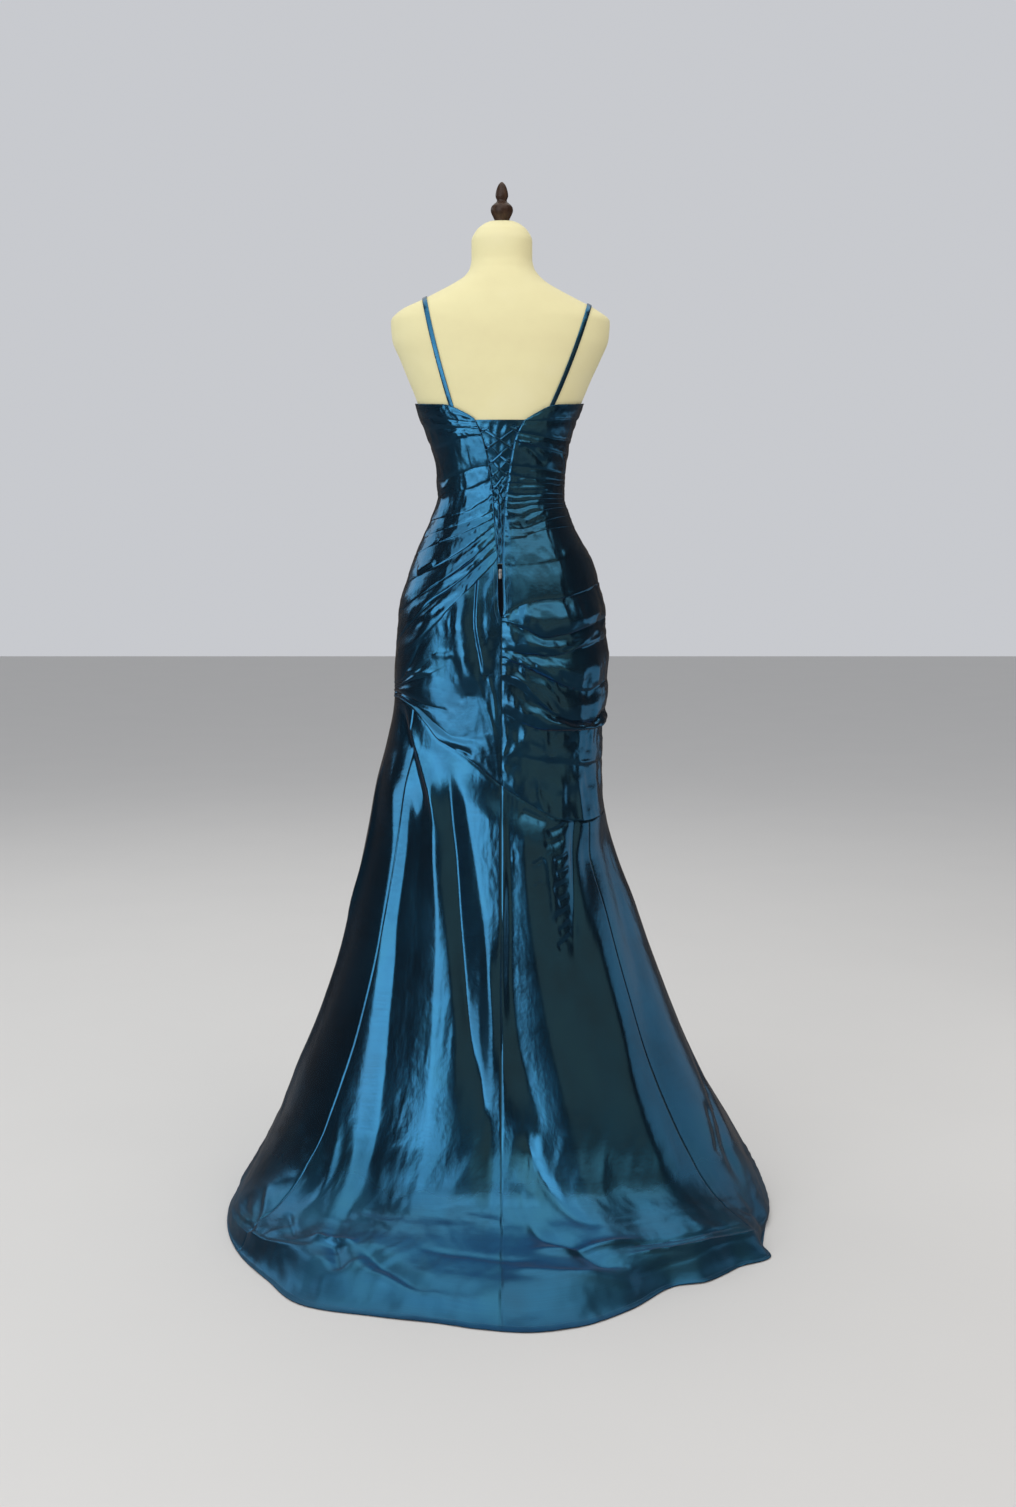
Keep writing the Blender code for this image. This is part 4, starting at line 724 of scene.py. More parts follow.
def shell(name, outer, inner, uv, material):
    """A closed thin shell between two grids; columns run with the angle, rows down."""
    rows, cols = outer.shape[:2]
    index = np.arange(rows * cols).reshape(rows, cols)
    a, b, c, d = index[:-1, :-1], index[1:, :-1], index[1:, 1:], index[:-1, 1:]
    front = np.stack([a, b, c, d], axis=-1).reshape(-1, 4)
    back = np.stack([a, d, c, b], axis=-1).reshape(-1, 4) + rows * cols
    border = np.concatenate([index[0, :-1], index[:-1, -1], index[-1, :0:-1], index[:0:-1, 0]])
    onward = np.roll(border, -1)
    rim = np.stack([border, onward, onward + rows * cols, border + rows * cols], axis=-1)
    faces = np.concatenate([front, back, rim]).tolist()
    points = np.concatenate([outer.reshape(-1, 3), inner.reshape(-1, 3)])
    flat = uv.reshape(-1, 2)
    return mesh_object(name, points, faces, material, SHELL_EDGE, np.concatenate([flat, flat]))


def cloth_uv(angle, height):
    """Flat coordinates in metres: round the body and down the cloth."""
    reach = gown_reach(angle, np.maximum(height, BREAK))
    middle = angle[:, angle.shape[1] // 2][:, None]
    return np.stack([np.radians(angle - middle) * reach + 0 * height, cloth_run(height)], axis=-1)


def edge_tuck(angle, height):
    """A narrow groove where a piece's edges are folded in at its seams."""
    reach = gown_reach(angle, np.maximum(height, BREAK))
    left = np.radians(angle - angle[:, :1]) * reach
    right = np.radians(angle[:, -1:] - angle) * reach
    return -TUCK_DEPTH * (1 - ease_in(np.minimum(left, right) / TUCK_WIDTH))


def columns(start, stop, step):
    """Angles from start to stop, closer together next to both seams."""
    sign = 1 if stop > start else -1
    count = max(2, round(abs(stop - start) / step))
    even = np.linspace(start, stop, count + 1)
    near = np.array([0.22, 0.5]) * sign
    return np.concatenate([[start], start + near, even[1:-1], stop - near[::-1], [stop]])


def taffeta_panel(name, angle, height, rise):
    """A gown piece as a thin shell, in place of the solid of the same name."""
    if angle[0, 0] > angle[0, -1]:
        angle, height, rise = angle[:, ::-1], height[:, ::-1], rise[:, ::-1]
    outer, inner = gown_point(angle, height, rise, sizes().cloth)
    thing = shell(f"{name}_taffeta", outer, inner, cloth_uv(angle, height), material_named("shot_taffeta"))
    place(thing, replaces=[name], slot="taffeta")


ROWS_IN_PLEAT = (0.0, 0.05, 0.13, 0.22, 0.32, 0.43, 0.54, 0.65, 0.75, 0.83, 0.90, 0.95, 0.985)


def pleat_grid(name, guess, lines, top, bottom, angle_at):
    """Rows that follow the pleats' edges, with the pleats' own rise.

    guess holds the columns' rough angles, and angle_at(height) gives their exact
    ones. lines are tables of angle, height and depth; top and bottom are heights
    at angles, and the last depth is the piece's lip.
    """
    lip = LIP_DEPTH[name]
    heights, depths = [top(guess)], [np.full(guess.shape, TOP_DEPTH)]
    for line in lines:
        level = smooth(line, "angle", "height", guess)
        for _ in range(3):
            level = smooth(line, "angle", "height", angle_at(level))
        heights.append(level)
        depths.append(smooth(line, "angle", "depth", angle_at(level)))
    heights.append(bottom(guess))
    depths.append(smooth(lip, "angle", "depth", guess))
    rows, rises, places = [], [], []
    roll = ROLL[name]
    for k in range(len(heights) - 1):
        for u in ROWS_IN_PLEAT + ((1.0,) if k == len(heights) - 2 else ()):
            rows.append(heights[k] + (heights[k + 1] - heights[k]) * u)
            rises.append(depths[k + 1] * lap(np.full(guess.shape, u), roll) * DEPTH_SHARE[name])
            places.append(np.full(guess.shape, k + u))
    height = np.array(rows)
    rise = np.array(rises) + streaks(guess[None, :], np.array(places)) * STREAK[name]
    return height, rise * sizes().pleat_scale


def streaks(angle, place):
    """Small folds that run along the pleats, about -1 to 1; place counts the pleats."""
    drift = lattice_noise(angle / 360 * 24 + 3.1, place * 0.7, 24, 71)
    long = 1 - 2 * np.abs(lattice_noise(angle / 360 * 30 + drift * 0.3, place * 2.1 + drift * 0.8, 30, 73))
    short = 1 - 2 * np.abs(lattice_noise(angle / 360 * 64, place * 4.3 + drift, 64, 79))
    return 0.65 * long + 0.35 * short


def body_relief(name, angle, height):
    """Creases, crumple and edge folds of a draped piece."""
    return (all_creases(CREASES[name], angle, height) * sizes().pleat_scale
            + crumple(angle, height, 44, 0.020, 11) * sizes().crumple
            + edge_tuck(angle, height))


FORM_CLEARANCE = 0.0013
LEAST_TROUGH = 0.0004


def off_the_form(angle, height, rise):
    """Eases a trough so that the cloth's inner face stays clear of the form."""
    under = gown_reach(angle, height) - torso_reach(angle, np.maximum(height, FORM_BASE))
    spare = np.maximum(under - sizes().cloth - FORM_CLEARANCE, LEAST_TROUGH)
    return np.where(rise < 0, -spare * np.tanh(-rise / spare), rise)


def flat_to_side(across):
    """1 over a piece and nearly 0 at its side seam, where front and back lie flush."""
    return 0.15 + 0.85 * ease_in((1 - across) / 0.06)


# ---------------------------------------------------------------- pieces of the gown
TOP_CORNER = 1.333       # height where the opening's edges meet the neckline
SIDES = {"left": -1, "right": 1}
FRONT_PLACES = 9         # angles at which a front pleat's course is drawn
FRONT_COLUMNS = 2.2      # the front's columns are this much wider than the back's


def draped(name, angle, height, rise, across):
    """A draped piece from its pleats' rise and its own creases."""
    rise = rise * flat_to_side(across)[None, :] + body_relief(name, angle, height)
    taffeta_panel(name, angle, height, off_the_form(angle, height, rise))


def back_piece(name, side, top, bottom):
    """A draped back piece, from the opening or the centre seam to the side seam."""
    side_seam = SIDE_SEAM * SIDES[side]
    guess = columns(0, side_seam, math.degrees(sizes().column))
    across = np.abs(guess) / SIDE_SEAM

    def angle_at(height):
        edge = edge_angle(side, height)
        return edge + (side_seam - edge) * across

    height, rise = pleat_grid(name, guess, PLEATS[name], top, bottom, angle_at)
    draped(name, angle_at(height), height, rise, across)


def neckline_height(side, guess):
    edge = edge_angle(side, TOP_CORNER)
    return seam(TOP_EDGE, edge + (SIDE_SEAM * SIDES[side] - edge) * np.abs(guess) / SIDE_SEAM)


def front_lines(top, bottom, count, depth, seed):
    """Uneven pleats round the front, from the right side seam to the left."""
    draw = np.random.default_rng(seed)
    places = np.linspace(SIDE_SEAM, 360 - SIDE_SEAM, FRONT_PLACES)
    lines = []
    for k in range(1, count):
        share = (k + draw.uniform(-0.22, 0.22, places.size) * 0.7 + draw.uniform(-0.15, 0.15)) / count
        level = top(places) + (bottom(places) - top(places)) * share
        deep = depth * draw.uniform(0.45, 1.0) * (0.7 + 0.3 * draw.uniform(-1, 1, places.size))
        lines.append(by_column("angle height depth", list(zip(places, level, deep))))
    return lines


def front_piece(name, top, bottom, count, depth, seed):
    """A draped front piece, from side seam to side seam."""
    guess = columns(SIDE_SEAM, 360 - SIDE_SEAM, math.degrees(sizes().column) * FRONT_COLUMNS)
    lines = front_lines(top, bottom, count, depth, seed)
    height, rise = pleat_grid(name, guess, lines, top, bottom, lambda level: guess)
    angle = np.broadcast_to(guess, height.shape).astype(float)
    across = 2 * np.abs((guess - SIDE_SEAM) / (360 - 2 * SIDE_SEAM) - 0.5)
    draped(name, angle, height, rise, across)


SKIRT_SPACING = 0.0050
SKIRT_TOP_ROWS = (0.0, 0.0008, 0.0020, 0.0040)
SKIRT_LEVEL = 0.60       # from here down all columns share their heights
SKIRT_UPPER_ROWS = 44
TRAIN_CRUMPLE = 0.0034
TUCKED_SHARE = 0.2       # what is left of a ridge where the hip seam holds it
TUCKED_HEIGHT = 0.07
SEAT_DEPTH = 0.0010
SEAT_HEIGHT = 0.006


def skirt_rows(top):
    """Heights from the hip seam at each column down to the hem."""
    near = [top - step for step in SKIRT_TOP_ROWS]
    upper = [near[-1] + (SKIRT_LEVEL - near[-1]) * k / SKIRT_UPPER_ROWS for k in range(1, SKIRT_UPPER_ROWS)]
    falling = np.arange(SKIRT_LEVEL, BREAK + 0.001, -SKIRT_SPACING)
    floor = np.arange(BREAK - 0.002, 0.004, -0.0021)
    hem = [0.0030, 0.0014, 0.0]
    return np.array(near + upper + [np.full(top.shape, h) for h in (*falling, *floor, *hem)])


def skirt_relief(angle, height):
    """Folds, flutes, creases and crumple of the skirt together."""
    below_seam = round_seam(HIP_SEAM, angle) - height
    tucked = TUCKED_SHARE + (1 - TUCKED_SHARE) * ease_in(below_seam / TUCKED_HEIGHT)
    on_floor = ease_in((0.14 - height) / 0.06)
    small = crumple(angle, height, 110, 0.034, 23) * sizes().crumple * (0.42 + 1.1 * on_floor)
    near_floor = ease_in((0.24 - height) / 0.14) * ease_in(height / 0.012)
    billows = crumple(angle, height, 44, 0.085, 29) * TRAIN_CRUMPLE * near_floor
    return (skirt_rise(angle, height) + run_rise(angle, height) * tucked + train_lift(angle, height)
            + all_creases(SKIRT_CREASES, angle, height) + small + billows)


def skirt_piece(name, start, stop, step):
    """A skirt gore from the hip seam to the hem, between two angles."""
    guess = columns(start, stop, step)
    top = round_seam(HIP_SEAM, guess)
    height = skirt_rows(top)
    angle = np.broadcast_to(guess, height.shape).astype(float)
    seat = -SEAT_DEPTH * (1 - ease_in((top[None, :] - height) / SEAT_HEIGHT))
    rise = skirt_relief(angle, height) + edge_tuck(angle, height) + seat
    taffeta_panel(name, angle, height, rise)


# ---------------------------------------------------------------- swept and turned pieces
def form_point(angle, height, level):
    """A point a level out from the form's surface."""
    reach = float(torso_reach(angle, height)) + level
    a = math.radians(angle)
    return Vector((reach * math.sin(a), -reach * math.cos(a), height))


def back_point(x, level, height):
    """A point at x and a height, a level out from the form's back."""
    angle = math.asin(x / (float(smooth(TORSO, "height", "back", height)) + level))
    return form_point(math.degrees(angle), height, level)


def squared_circle(count, squareness):
    """Sideways and upward shares of a rounded rectangle's points, and their angles."""
    turn = 2 * math.pi * np.arange(count) / count
    across, up = np.cos(turn), np.sin(turn)
    return (np.sign(across) * np.abs(across) ** (2 / squareness),
            np.sign(up) * np.abs(up) ** (2 / squareness), turn)


def heading(course, k):
    """Direction of a course at its point k, from the point before to the one after."""
    return course[min(k + 1, len(course) - 1)] - course[max(k - 1, 0)]


TIP_SHARE = 0.62         # how far a cord's end is drawn in


def rouleau(name, course, ups, half_width, half_thickness, sides, squareness=2.0, tips=True, replaces=()):
    """A closed cord or band of taffeta along a course; ups point across its width."""
    count = len(course)
    ring_x, ring_y, turn = squared_circle(sides, squareness)
    ring_x, ring_y = ring_x * half_width, ring_y * half_thickness
    points, uv, run = [], [], 0.0
    for k, p in enumerate(course):
        ahead = heading(course, k).normalized()
        up = (ups[k] - ahead * ups[k].dot(ahead)).normalized()
        out = ahead.cross(up)
        run += (p - course[k - 1]).length if k else 0.0
        tip = TIP_SHARE if tips and k in (0, count - 1) else 1.0
        for i in range(sides):
            points.append(p + up * ring_x[i] * tip + out * ring_y[i] * tip)
            uv.append((half_width * turn[i], run))
    faces = []
    for k in range(count - 1):
        for i in range(sides):
            j = (i + 1) % sides
            faces.append((k * sides + i, k * sides + j, (k + 1) * sides + j, (k + 1) * sides + i))
    faces.append(tuple(reversed(range(sides))))
    faces.append(tuple(range((count - 1) * sides, count * sides)))
    points = [tuple(p) for p in points]
    cord = outward(mesh_object(name, points, faces, material_named("shot_taffeta"), ROUND_EDGE, uv))
    place(cord, replaces=replaces, slot="taffeta")
    return cord


def outward(thing):
    """Turns a closed mesh's faces to point out."""
    shape = bmesh.new()
    shape.from_mesh(thing.data)
    bmesh.ops.recalc_face_normals(shape, faces=shape.faces)
    shape.to_mesh(thing.data)
    shape.free()
    return thing


def lathe(name, profile, centre, material, count):
    """A turned piece from (height, radius) rows, its poles closed."""
    points = [(centre[0], centre[1], profile[0][0])]
    faces = []
    for height, radius in profile:
        for i in range(count):
            a = 2 * math.pi * i / count
            points.append((centre[0] + radius * math.cos(a), centre[1] + radius * math.sin(a), height))
    points.append((centre[0], centre[1], profile[-1][0]))
    for i in range(count):
        k = (i + 1) % count
        faces.append((0, 1 + k, 1 + i))
        for j in range(len(profile) - 1):
            a, b = 1 + j * count, 1 + (j + 1) * count
            faces.append((a + i, a + k, b + k, b + i))
        last = 1 + (len(profile) - 1) * count
        faces.append((last + i, last + k, len(points) - 1))
    return outward(mesh_object(name, points, faces, material, LATHE_EDGE))


# ---------------------------------------------------------------- node helpers
def wire(tree, made, inputs):
    """Links a node's inputs that are given as sockets and sets the others."""
    for key, value in inputs.items():
        if isinstance(value, bpy.types.NodeSocket):
            tree.links.new(value, made.inputs[key])
        else:
            made.inputs[key].default_value = value


def node(tree, kind, inputs=None, **settings):
    """A new node with its settings and its input values or links."""
    made = tree.nodes.new(kind)
    for key, value in settings.items():
        setattr(made, key, value)
    wire(tree, made, inputs or {})
    return made


def new_material(name):
    """A material's tree and the place on the piece that its patterns read."""
    material = bpy.data.materials.new(name)
    material.use_nodes = True
    tree = material.node_tree
    return material, tree, node(tree, "ShaderNodeTexCoord").outputs["Object"]


def finished(material, inputs):
    """The material with its shader's inputs."""
    tree = material.node_tree
    wire(tree, tree.nodes["Principled BSDF"], inputs)
    return material


def ramp(tree, factor, *stops):
    """A colour ramp: (place, colour) stops."""
    made = node(tree, "ShaderNodeValToRGB", {"Fac": factor})
    elements = made.color_ramp.elements
    while len(elements) < len(stops):
        elements.new(0.5)
    for element, (at, colour) in zip(elements, stops):
        element.position = at
        element.color = (*colour, 1.0) if len(colour) == 3 else (colour[0],) * 3 + (1.0,)
    return made.outputs["Color"]


def scaled_noise(tree, vector, scale, detail, roughness=0.5):
    """Noise with its own scale along each axis."""
    mapped = node(tree, "ShaderNodeMapping", {"Vector": vector, "Scale": scale})
    return node(tree, "ShaderNodeTexNoise", {
        "Vector": mapped.outputs["Vector"], "Scale": 1.0, "Detail": detail, "Roughness": roughness}).outputs["Fac"]


def bumped(tree, height, strength, distance, normal=None):
    inputs = {"Height": height, "Strength": strength, "Distance": distance}
    if normal is not None:
        inputs["Normal"] = normal
    return node(tree, "ShaderNodeBump", inputs).outputs["Normal"]


def mixed(base, other, share):
    return tuple(b + (o - b) * share for b, o in zip(base, other))


def make_shot_taffeta(colours):
    """Taffeta of a blue warp and a dark weft: slubs across, small watery creases."""
    material, tree, where = new_material("shot_taffeta")
    uv = node(tree, "ShaderNodeUVMap", uv_map="cloth").outputs["UV"]
    blue, weft = tuple(colours.taffeta), tuple(colours.weft)
    slub = scaled_noise(tree, uv, (14, 620, 1), 2.0)
    fine_slub = scaled_noise(tree, uv, (60, 1500, 1), 1.0)
    cloud = scaled_noise(tree, uv, (9, 5, 1), 3.0, 0.6)
    pucker = scaled_noise(tree, uv, (55, 42, 1), 4.0, 0.62)
    tone = node(tree, "ShaderNodeMath", {0: slub, 1: 0.18}, operation="MULTIPLY").outputs[0]
    tone = node(tree, "ShaderNodeMath", {0: cloud, 1: 0.82, 2: tone}, operation="MULTIPLY_ADD").outputs[0]
    colour = ramp(tree, tone, (0.30, mixed(blue, weft, 0.34)), (0.52, blue),
                  (0.72, mixed(blue, (0.06, 0.27, 0.40), 0.5)))
    rough = ramp(tree, cloud, (0.30, (0.17,)), (0.70, (0.25,)))
    level = node(tree, "ShaderNodeSeparateXYZ", {0: where}).outputs["Z"]
    rubbed = ramp(tree, level, (0.035, (0.20,)), (0.150, (0.0,)))
    rough = node(tree, "ShaderNodeMath", {0: rough, 1: rubbed}, operation="ADD").outputs[0]
    normal = bumped(tree, pucker, 0.40, 0.0014)
    normal = bumped(tree, slub, 0.03, 0.0003, normal)
    normal = bumped(tree, fine_slub, 0.04, 0.0002, normal)
    return finished(material, {
        "Base Color": colour, "Roughness": rough, "Normal": normal, "Metallic": 0.975, "Sheen Weight": 0.13,
        "Sheen Roughness": 0.45, "Sheen Tint": (0.66, 0.50, 0.38, 1)})


def make_form_cover(colours):
    """Cream jersey pulled over the padded form: fine ribs and faint age marks."""
    material, tree, where = new_material("cream_jersey")
    cover = tuple(colours.cover)
    patches = scaled_noise(tree, where, (7, 7, 9), 4.0, 0.6)
    knit = scaled_noise(tree, where, (900, 900, 1300), 1.0)
    colour = ramp(tree, patches, (0.30, mixed(cover, (0.56, 0.46, 0.25), 0.14)), (0.50, cover),
                  (0.72, mixed(cover, (0.82, 0.77, 0.52), 0.3)))
    return finished(material, {
        "Base Color": colour, "Roughness": ramp(tree, knit, (0.3, (0.66,)), (0.7, (0.84,))),
        "Normal": bumped(tree, knit, 0.25, 0.0004), "Sheen Weight": 0.06, "Sheen Roughness": 0.5})


def make_stand_wood(colours):
    """Dark stained beech with a worn satin polish."""
    material, tree, where = new_material("stained_beech")
    wood = tuple(colours.wood)
    grain = scaled_noise(tree, where, (160, 160, 9), 5.0, 0.6)
    pores = scaled_noise(tree, where, (1400, 1400, 60), 2.0)
    colour = ramp(tree, grain, (0.32, mixed(wood, (0.015, 0.008, 0.005), 0.6)), (0.55, wood),
                  (0.75, mixed(wood, (0.20, 0.11, 0.05), 0.3)))
    return finished(material, {
        "Base Color": colour, "Roughness": ramp(tree, grain, (0.3, (0.30,)), (0.7, (0.48,))),
        "Specular IOR Level": 0.3, "Normal": bumped(tree, pores, 0.2, 0.0003), "Coat Weight": 0.12,
        "Coat Roughness": 0.22})


def make_zip_metal(colours):
    """Nickel-plated zinc, a little rubbed."""
    material, tree, where = new_material("gunmetal")
    metal = tuple(colours.metal)
    rub = scaled_noise(tree, where, (700, 700, 220), 3.0)
    return finished(material, {
        "Base Color": ramp(tree, rub, (0.3, mixed(metal, (0.30, 0.29, 0.28), 0.4)), (0.65, metal)),
        "Roughness": ramp(tree, rub, (0.3, (0.20,)), (0.7, (0.38,))),
        "Normal": bumped(tree, rub, 0.08, 0.0002), "Metallic": 1.0})


def make_zip_tape(colours):
    """Woven polyester tape, nearly black."""
    material, tree, where = new_material("woven_tape")
    weave = scaled_noise(tree, where, (1600, 1600, 1100), 1.0)
    return finished(material, {
        "Base Color": ramp(tree, weave, (0.3, (0.003, 0.004, 0.006)), (0.7, (0.008, 0.011, 0.016))),
        "Normal": bumped(tree, weave, 0.3, 0.0003), "Roughness": 0.8, "Specular IOR Level": 0.0})


def make_thread(colours):
    """Dark blue polyester sewing thread."""
    material, tree, where = new_material("thread")
    twist = scaled_noise(tree, where, (2600, 2600, 2600), 1.0)
    blue = tuple(colours.taffeta)
    return finished(material, {
        "Base Color": ramp(tree, twist, (0.35, mixed(blue, (0.0, 0.0, 0.0), 0.6)), (0.65, blue)),
        "Roughness": 0.5, "Sheen Weight": 0.2})


def make_floor_paper(colours):
    """Plain pale studio floor, painted dark grey where the cloth mirrors it: painted shade in its reflections."""
    material, tree, where = new_material("floor_paper")
    floor = tuple(colours.floor)
    grain = scaled_noise(tree, where, (3, 3, 3), 4.0)
    paper = ramp(tree, grain, (0.3, mixed(floor, (0.5, 0.5, 0.5), 0.06)), (0.7, floor))
    # Painted shade: mirrored rays see the floor dark grey, so the cloth reflects a dark floor
    mirrored = node(tree, "ShaderNodeLightPath").outputs["Is Glossy Ray"]
    painted_dark_in_reflections = node(tree, "ShaderNodeMix", {"Factor": mirrored, "A": paper, "B": (0.06, 0.06, 0.06, 1)},
                  data_type="RGBA")
    return finished(material, {"Base Color": painted_dark_in_reflections.outputs["Result"], "Roughness": 0.85})


FINISHES = {
    "shot_taffeta": make_shot_taffeta, "cream_jersey": make_form_cover, "stained_beech": make_stand_wood,
    "gunmetal": make_zip_metal, "woven_tape": make_zip_tape, "thread": make_thread,
    "floor_paper": make_floor_paper,
}


def material_named(name):
    """A finish, made the first time that a piece asks for it."""
    return bpy.data.materials.get(name) or FINISHES[name](bpy.context.scene.gown_colours)


# ---------------------------------------------------------------- geometry node trees
def new_tree(name, *inputs):
    """A geometry node group with named inputs: (name, socket kind, default)."""
    tree = bpy.data.node_groups.new(name, "GeometryNodeTree")
    for way in ("INPUT", "OUTPUT"):
        tree.interface.new_socket("Geometry", in_out=way, socket_type="NodeSocketGeometry")
    for label, kind, default in inputs:
        tree.interface.new_socket(label, in_out="INPUT", socket_type=kind).default_value = default
    tree.interface.new_socket("Material", in_out="INPUT", socket_type="NodeSocketMaterial")
    return tree, tree.nodes.new("NodeGroupInput").outputs


def finish_tree(tree, start, geometry):
    """Ends a tree in Realize Instances and Set Material."""
    real = node(tree, "GeometryNodeRealizeInstances", {"Geometry": geometry})
    painted = node(tree, "GeometryNodeSetMaterial", {
        "Geometry": real.outputs[0], "Material": start["Material"]})
    node(tree, "NodeGroupOutput", {"Geometry": painted.outputs[0]})
    return tree


def spaced_points(tree, start):
    """A seed's lines as curves with a point at every pitch."""
    line = node(tree, "GeometryNodeMeshToCurve", {"Mesh": start["Geometry"]})
    return node(tree, "GeometryNodeResampleCurve", {"Curve": line.outputs[0], "Length": start["Pitch"]},
                mode="LENGTH").outputs[0]


def copied(tree, points, instance, **inputs):
    """An instance on each point."""
    return node(tree, "GeometryNodeInstanceOnPoints", {
        "Points": points, "Instance": instance, **inputs}).outputs[0]


def stitch_tree():
    """Stitches of one length along each given line, lying on their own width."""
    tree, start = new_tree("stitch_row", ("Pitch", "NodeSocketFloat", 0.004),
                           ("Length", "NodeSocketFloat", 0.0027), ("Radius", "NodeSocketFloat", 0.00022))
    spaced = spaced_points(tree, start)
    thread = node(tree, "GeometryNodeMeshCylinder", {
        "Vertices": 6, "Side Segments": 1, "Radius": start["Radius"], "Depth": start["Length"]})
    along = node(tree, "FunctionNodeAlignRotationToVector", {
        "Vector": node(tree, "GeometryNodeInputTangent").outputs[0]}, axis="Z")
    return finish_tree(tree, start, copied(tree, spaced, thread.outputs["Mesh"], Rotation=along.outputs[0]))


def loop_tree():
    """Rouleau loops: a bent cord on each point, turned and sized by its attributes."""
    tree, start = new_tree("rouleau_loops", ("Half height", "NodeSocketFloat", 0.0047),
                           ("Cord radius", "NodeSocketFloat", 0.0009))
    arc = node(tree, "GeometryNodeCurveArc", {
        "Resolution": 18, "Radius": start["Half height"], "Start Angle": math.radians(-100),
        "Sweep Angle": math.radians(200)}, mode="RADIUS")
    ring = node(tree, "GeometryNodeCurvePrimitiveCircle", {"Resolution": 8, "Radius": start["Cord radius"]},
                mode="RADIUS")
    size, turn = (node(tree, "GeometryNodeInputNamedAttribute", {"Name": name}, data_type="FLOAT_VECTOR")
                  .outputs["Attribute"] for name in ("loop_size", "loop_turn"))
    turn = node(tree, "FunctionNodeEulerToRotation", {"Euler": turn}).outputs[0]
    copies = copied(tree, start["Geometry"], arc.outputs["Curve"], Rotation=turn, Scale=size)
    real = node(tree, "GeometryNodeRealizeInstances", {"Geometry": copies})
    cord = node(tree, "GeometryNodeCurveToMesh", {
        "Curve": real.outputs[0], "Profile Curve": ring.outputs["Curve"], "Fill Caps": True})
    return finish_tree(tree, start, cord.outputs[0])


def teeth_tree():
    """Zip teeth on both sides of each point, every pitch along the line."""
    tree, start = new_tree("zip_teeth", ("Pitch", "NodeSocketFloat", 0.0021),
                           ("Tooth", "NodeSocketVector", (0.0019, 0.0009, 0.0011)))
    spaced = spaced_points(tree, start)
    tooth = node(tree, "GeometryNodeMeshCube", {"Size": start["Tooth"], "Vertices X": 3})
    odd = node(tree, "ShaderNodeMath", {0: node(tree, "GeometryNodeInputIndex").outputs[0], 1: 2.0},
               operation="MODULO")
    aside = node(tree, "ShaderNodeMath", {0: odd.outputs[0], 1: 0.0014, 2: -0.0007}, operation="MULTIPLY_ADD")
    shift = node(tree, "ShaderNodeCombineXYZ", {"X": aside.outputs[0]})
    moved = node(tree, "GeometryNodeSetPosition", {"Geometry": spaced, "Offset": shift.outputs[0]})
    return finish_tree(tree, start, copied(tree, moved.outputs[0], tooth.outputs["Mesh"]))


TREES = {"stitch_row": stitch_tree, "rouleau_loops": loop_tree, "zip_teeth": teeth_tree}


def grown(name, seed_object, tree_name, values):
    """The plain mesh that a tree makes from an object, which is then removed."""
    tree = bpy.data.node_groups.get(tree_name) or TREES[tree_name]()
    modifier = seed_object.modifiers.new(tree.name, "NODES")
    modifier.node_group = tree
    for socket in tree.interface.items_tree:
        if socket.in_out == "INPUT" and socket.name in values:
            modifier[socket.identifier] = values[socket.name]
    depsgraph = bpy.context.evaluated_depsgraph_get()
    mesh = bpy.data.meshes.new_from_object(seed_object.evaluated_get(depsgraph))
    bpy.data.objects.remove(seed_object, do_unlink=True)
    if not len(mesh.polygons):
        raise RuntimeError(f"{name} came out empty")
    mesh.name = name
    crisp(mesh, GROWN_EDGE)
    return linked(name, mesh)


def line_object(name, lines):
    """Separate open lines of points as one mesh of edges."""
    points, edges = [], []
    for line in lines:
        first = len(points)
        points += [tuple(p) for p in line]
        edges += [(first + k, first + k + 1) for k in range(len(line) - 1)]
    mesh = bpy.data.meshes.new(name)
    mesh.from_pydata(points, edges, [])
    return linked(name, mesh)


# ---------------------------------------------------------------- trims
TAILS = {                # the free ends of the lace: x, level above the form, height
    "left": read_points("x level height", """
        -6.3 3.5 1197.8, -5.8 4.5 1190.5, -5 5.8 1182, -5.6 6.6 1172, -6.6 7 1162, -5 7.4 1151, -6.4 7.6 1139,
        -4.9 7.7 1127.5, -5.6 7.7 1116
    """),
    "right": read_points("x level height", """
        -1.8 3.5 1197.8, -1.4 4.5 1190.5, -0.4 6 1182, -1.2 6.8 1173, 0.3 7.2 1163, -1.2 7.5 1153,
        0.2 7.7 1142, -0.8 7.7 1133
    """),
}
TAIL_DIAMETER = 0.0024
LOOPS = table("height reach", "1318 5.6, 1291 5.4, 1268 5.2, 1247 4.6, 1227 4.2, 1207 3.8")
LOOP_LEVEL = 0.0046
LOOP_HALF_HEIGHT = 0.0047
LOOP_CORD_RADIUS = 0.0009
LOOP_FEET = 0.0006       # how far the loops' ends lie under the edge
LOOP_DROP = 0.006        # height over which the back's lean is read
LACE_OVER = 0.0066
LACE_UNDER = 0.0030
LACE_CLEAR = 0.0012
TURN_GAP = 0.0008
LACE_HALF_WIDTH = 0.0018
LACE_HALF_THICKNESS = 0.00055


def smooth_vectors(points, steps):
    return [Vector(p) for p in round_corners(np.array([tuple(p) for p in points]), steps)]


def edge_x(side, height):
    return float(smooth(OPENING, "height", side, height))


def make_tails():
    """The two free ends of the lacing, hanging down the back."""
    for side, course in TAILS.items():
        points = smooth_vectors([back_point(*p) for p in course], 5)
        ups = [Vector((1, 0, 0))] * len(points)
        tail = rouleau(f"lace_end_{side}", points, ups, TAIL_DIAMETER / 2, TAIL_DIAMETER / 2, sides=12,
                       replaces=[f"lace_tail_{side}"])


def loop_rows():
    """Height and reach of each pair of loops, from the top."""
    return list(zip(LOOPS["height"][::-1], LOOPS["reach"][::-1]))


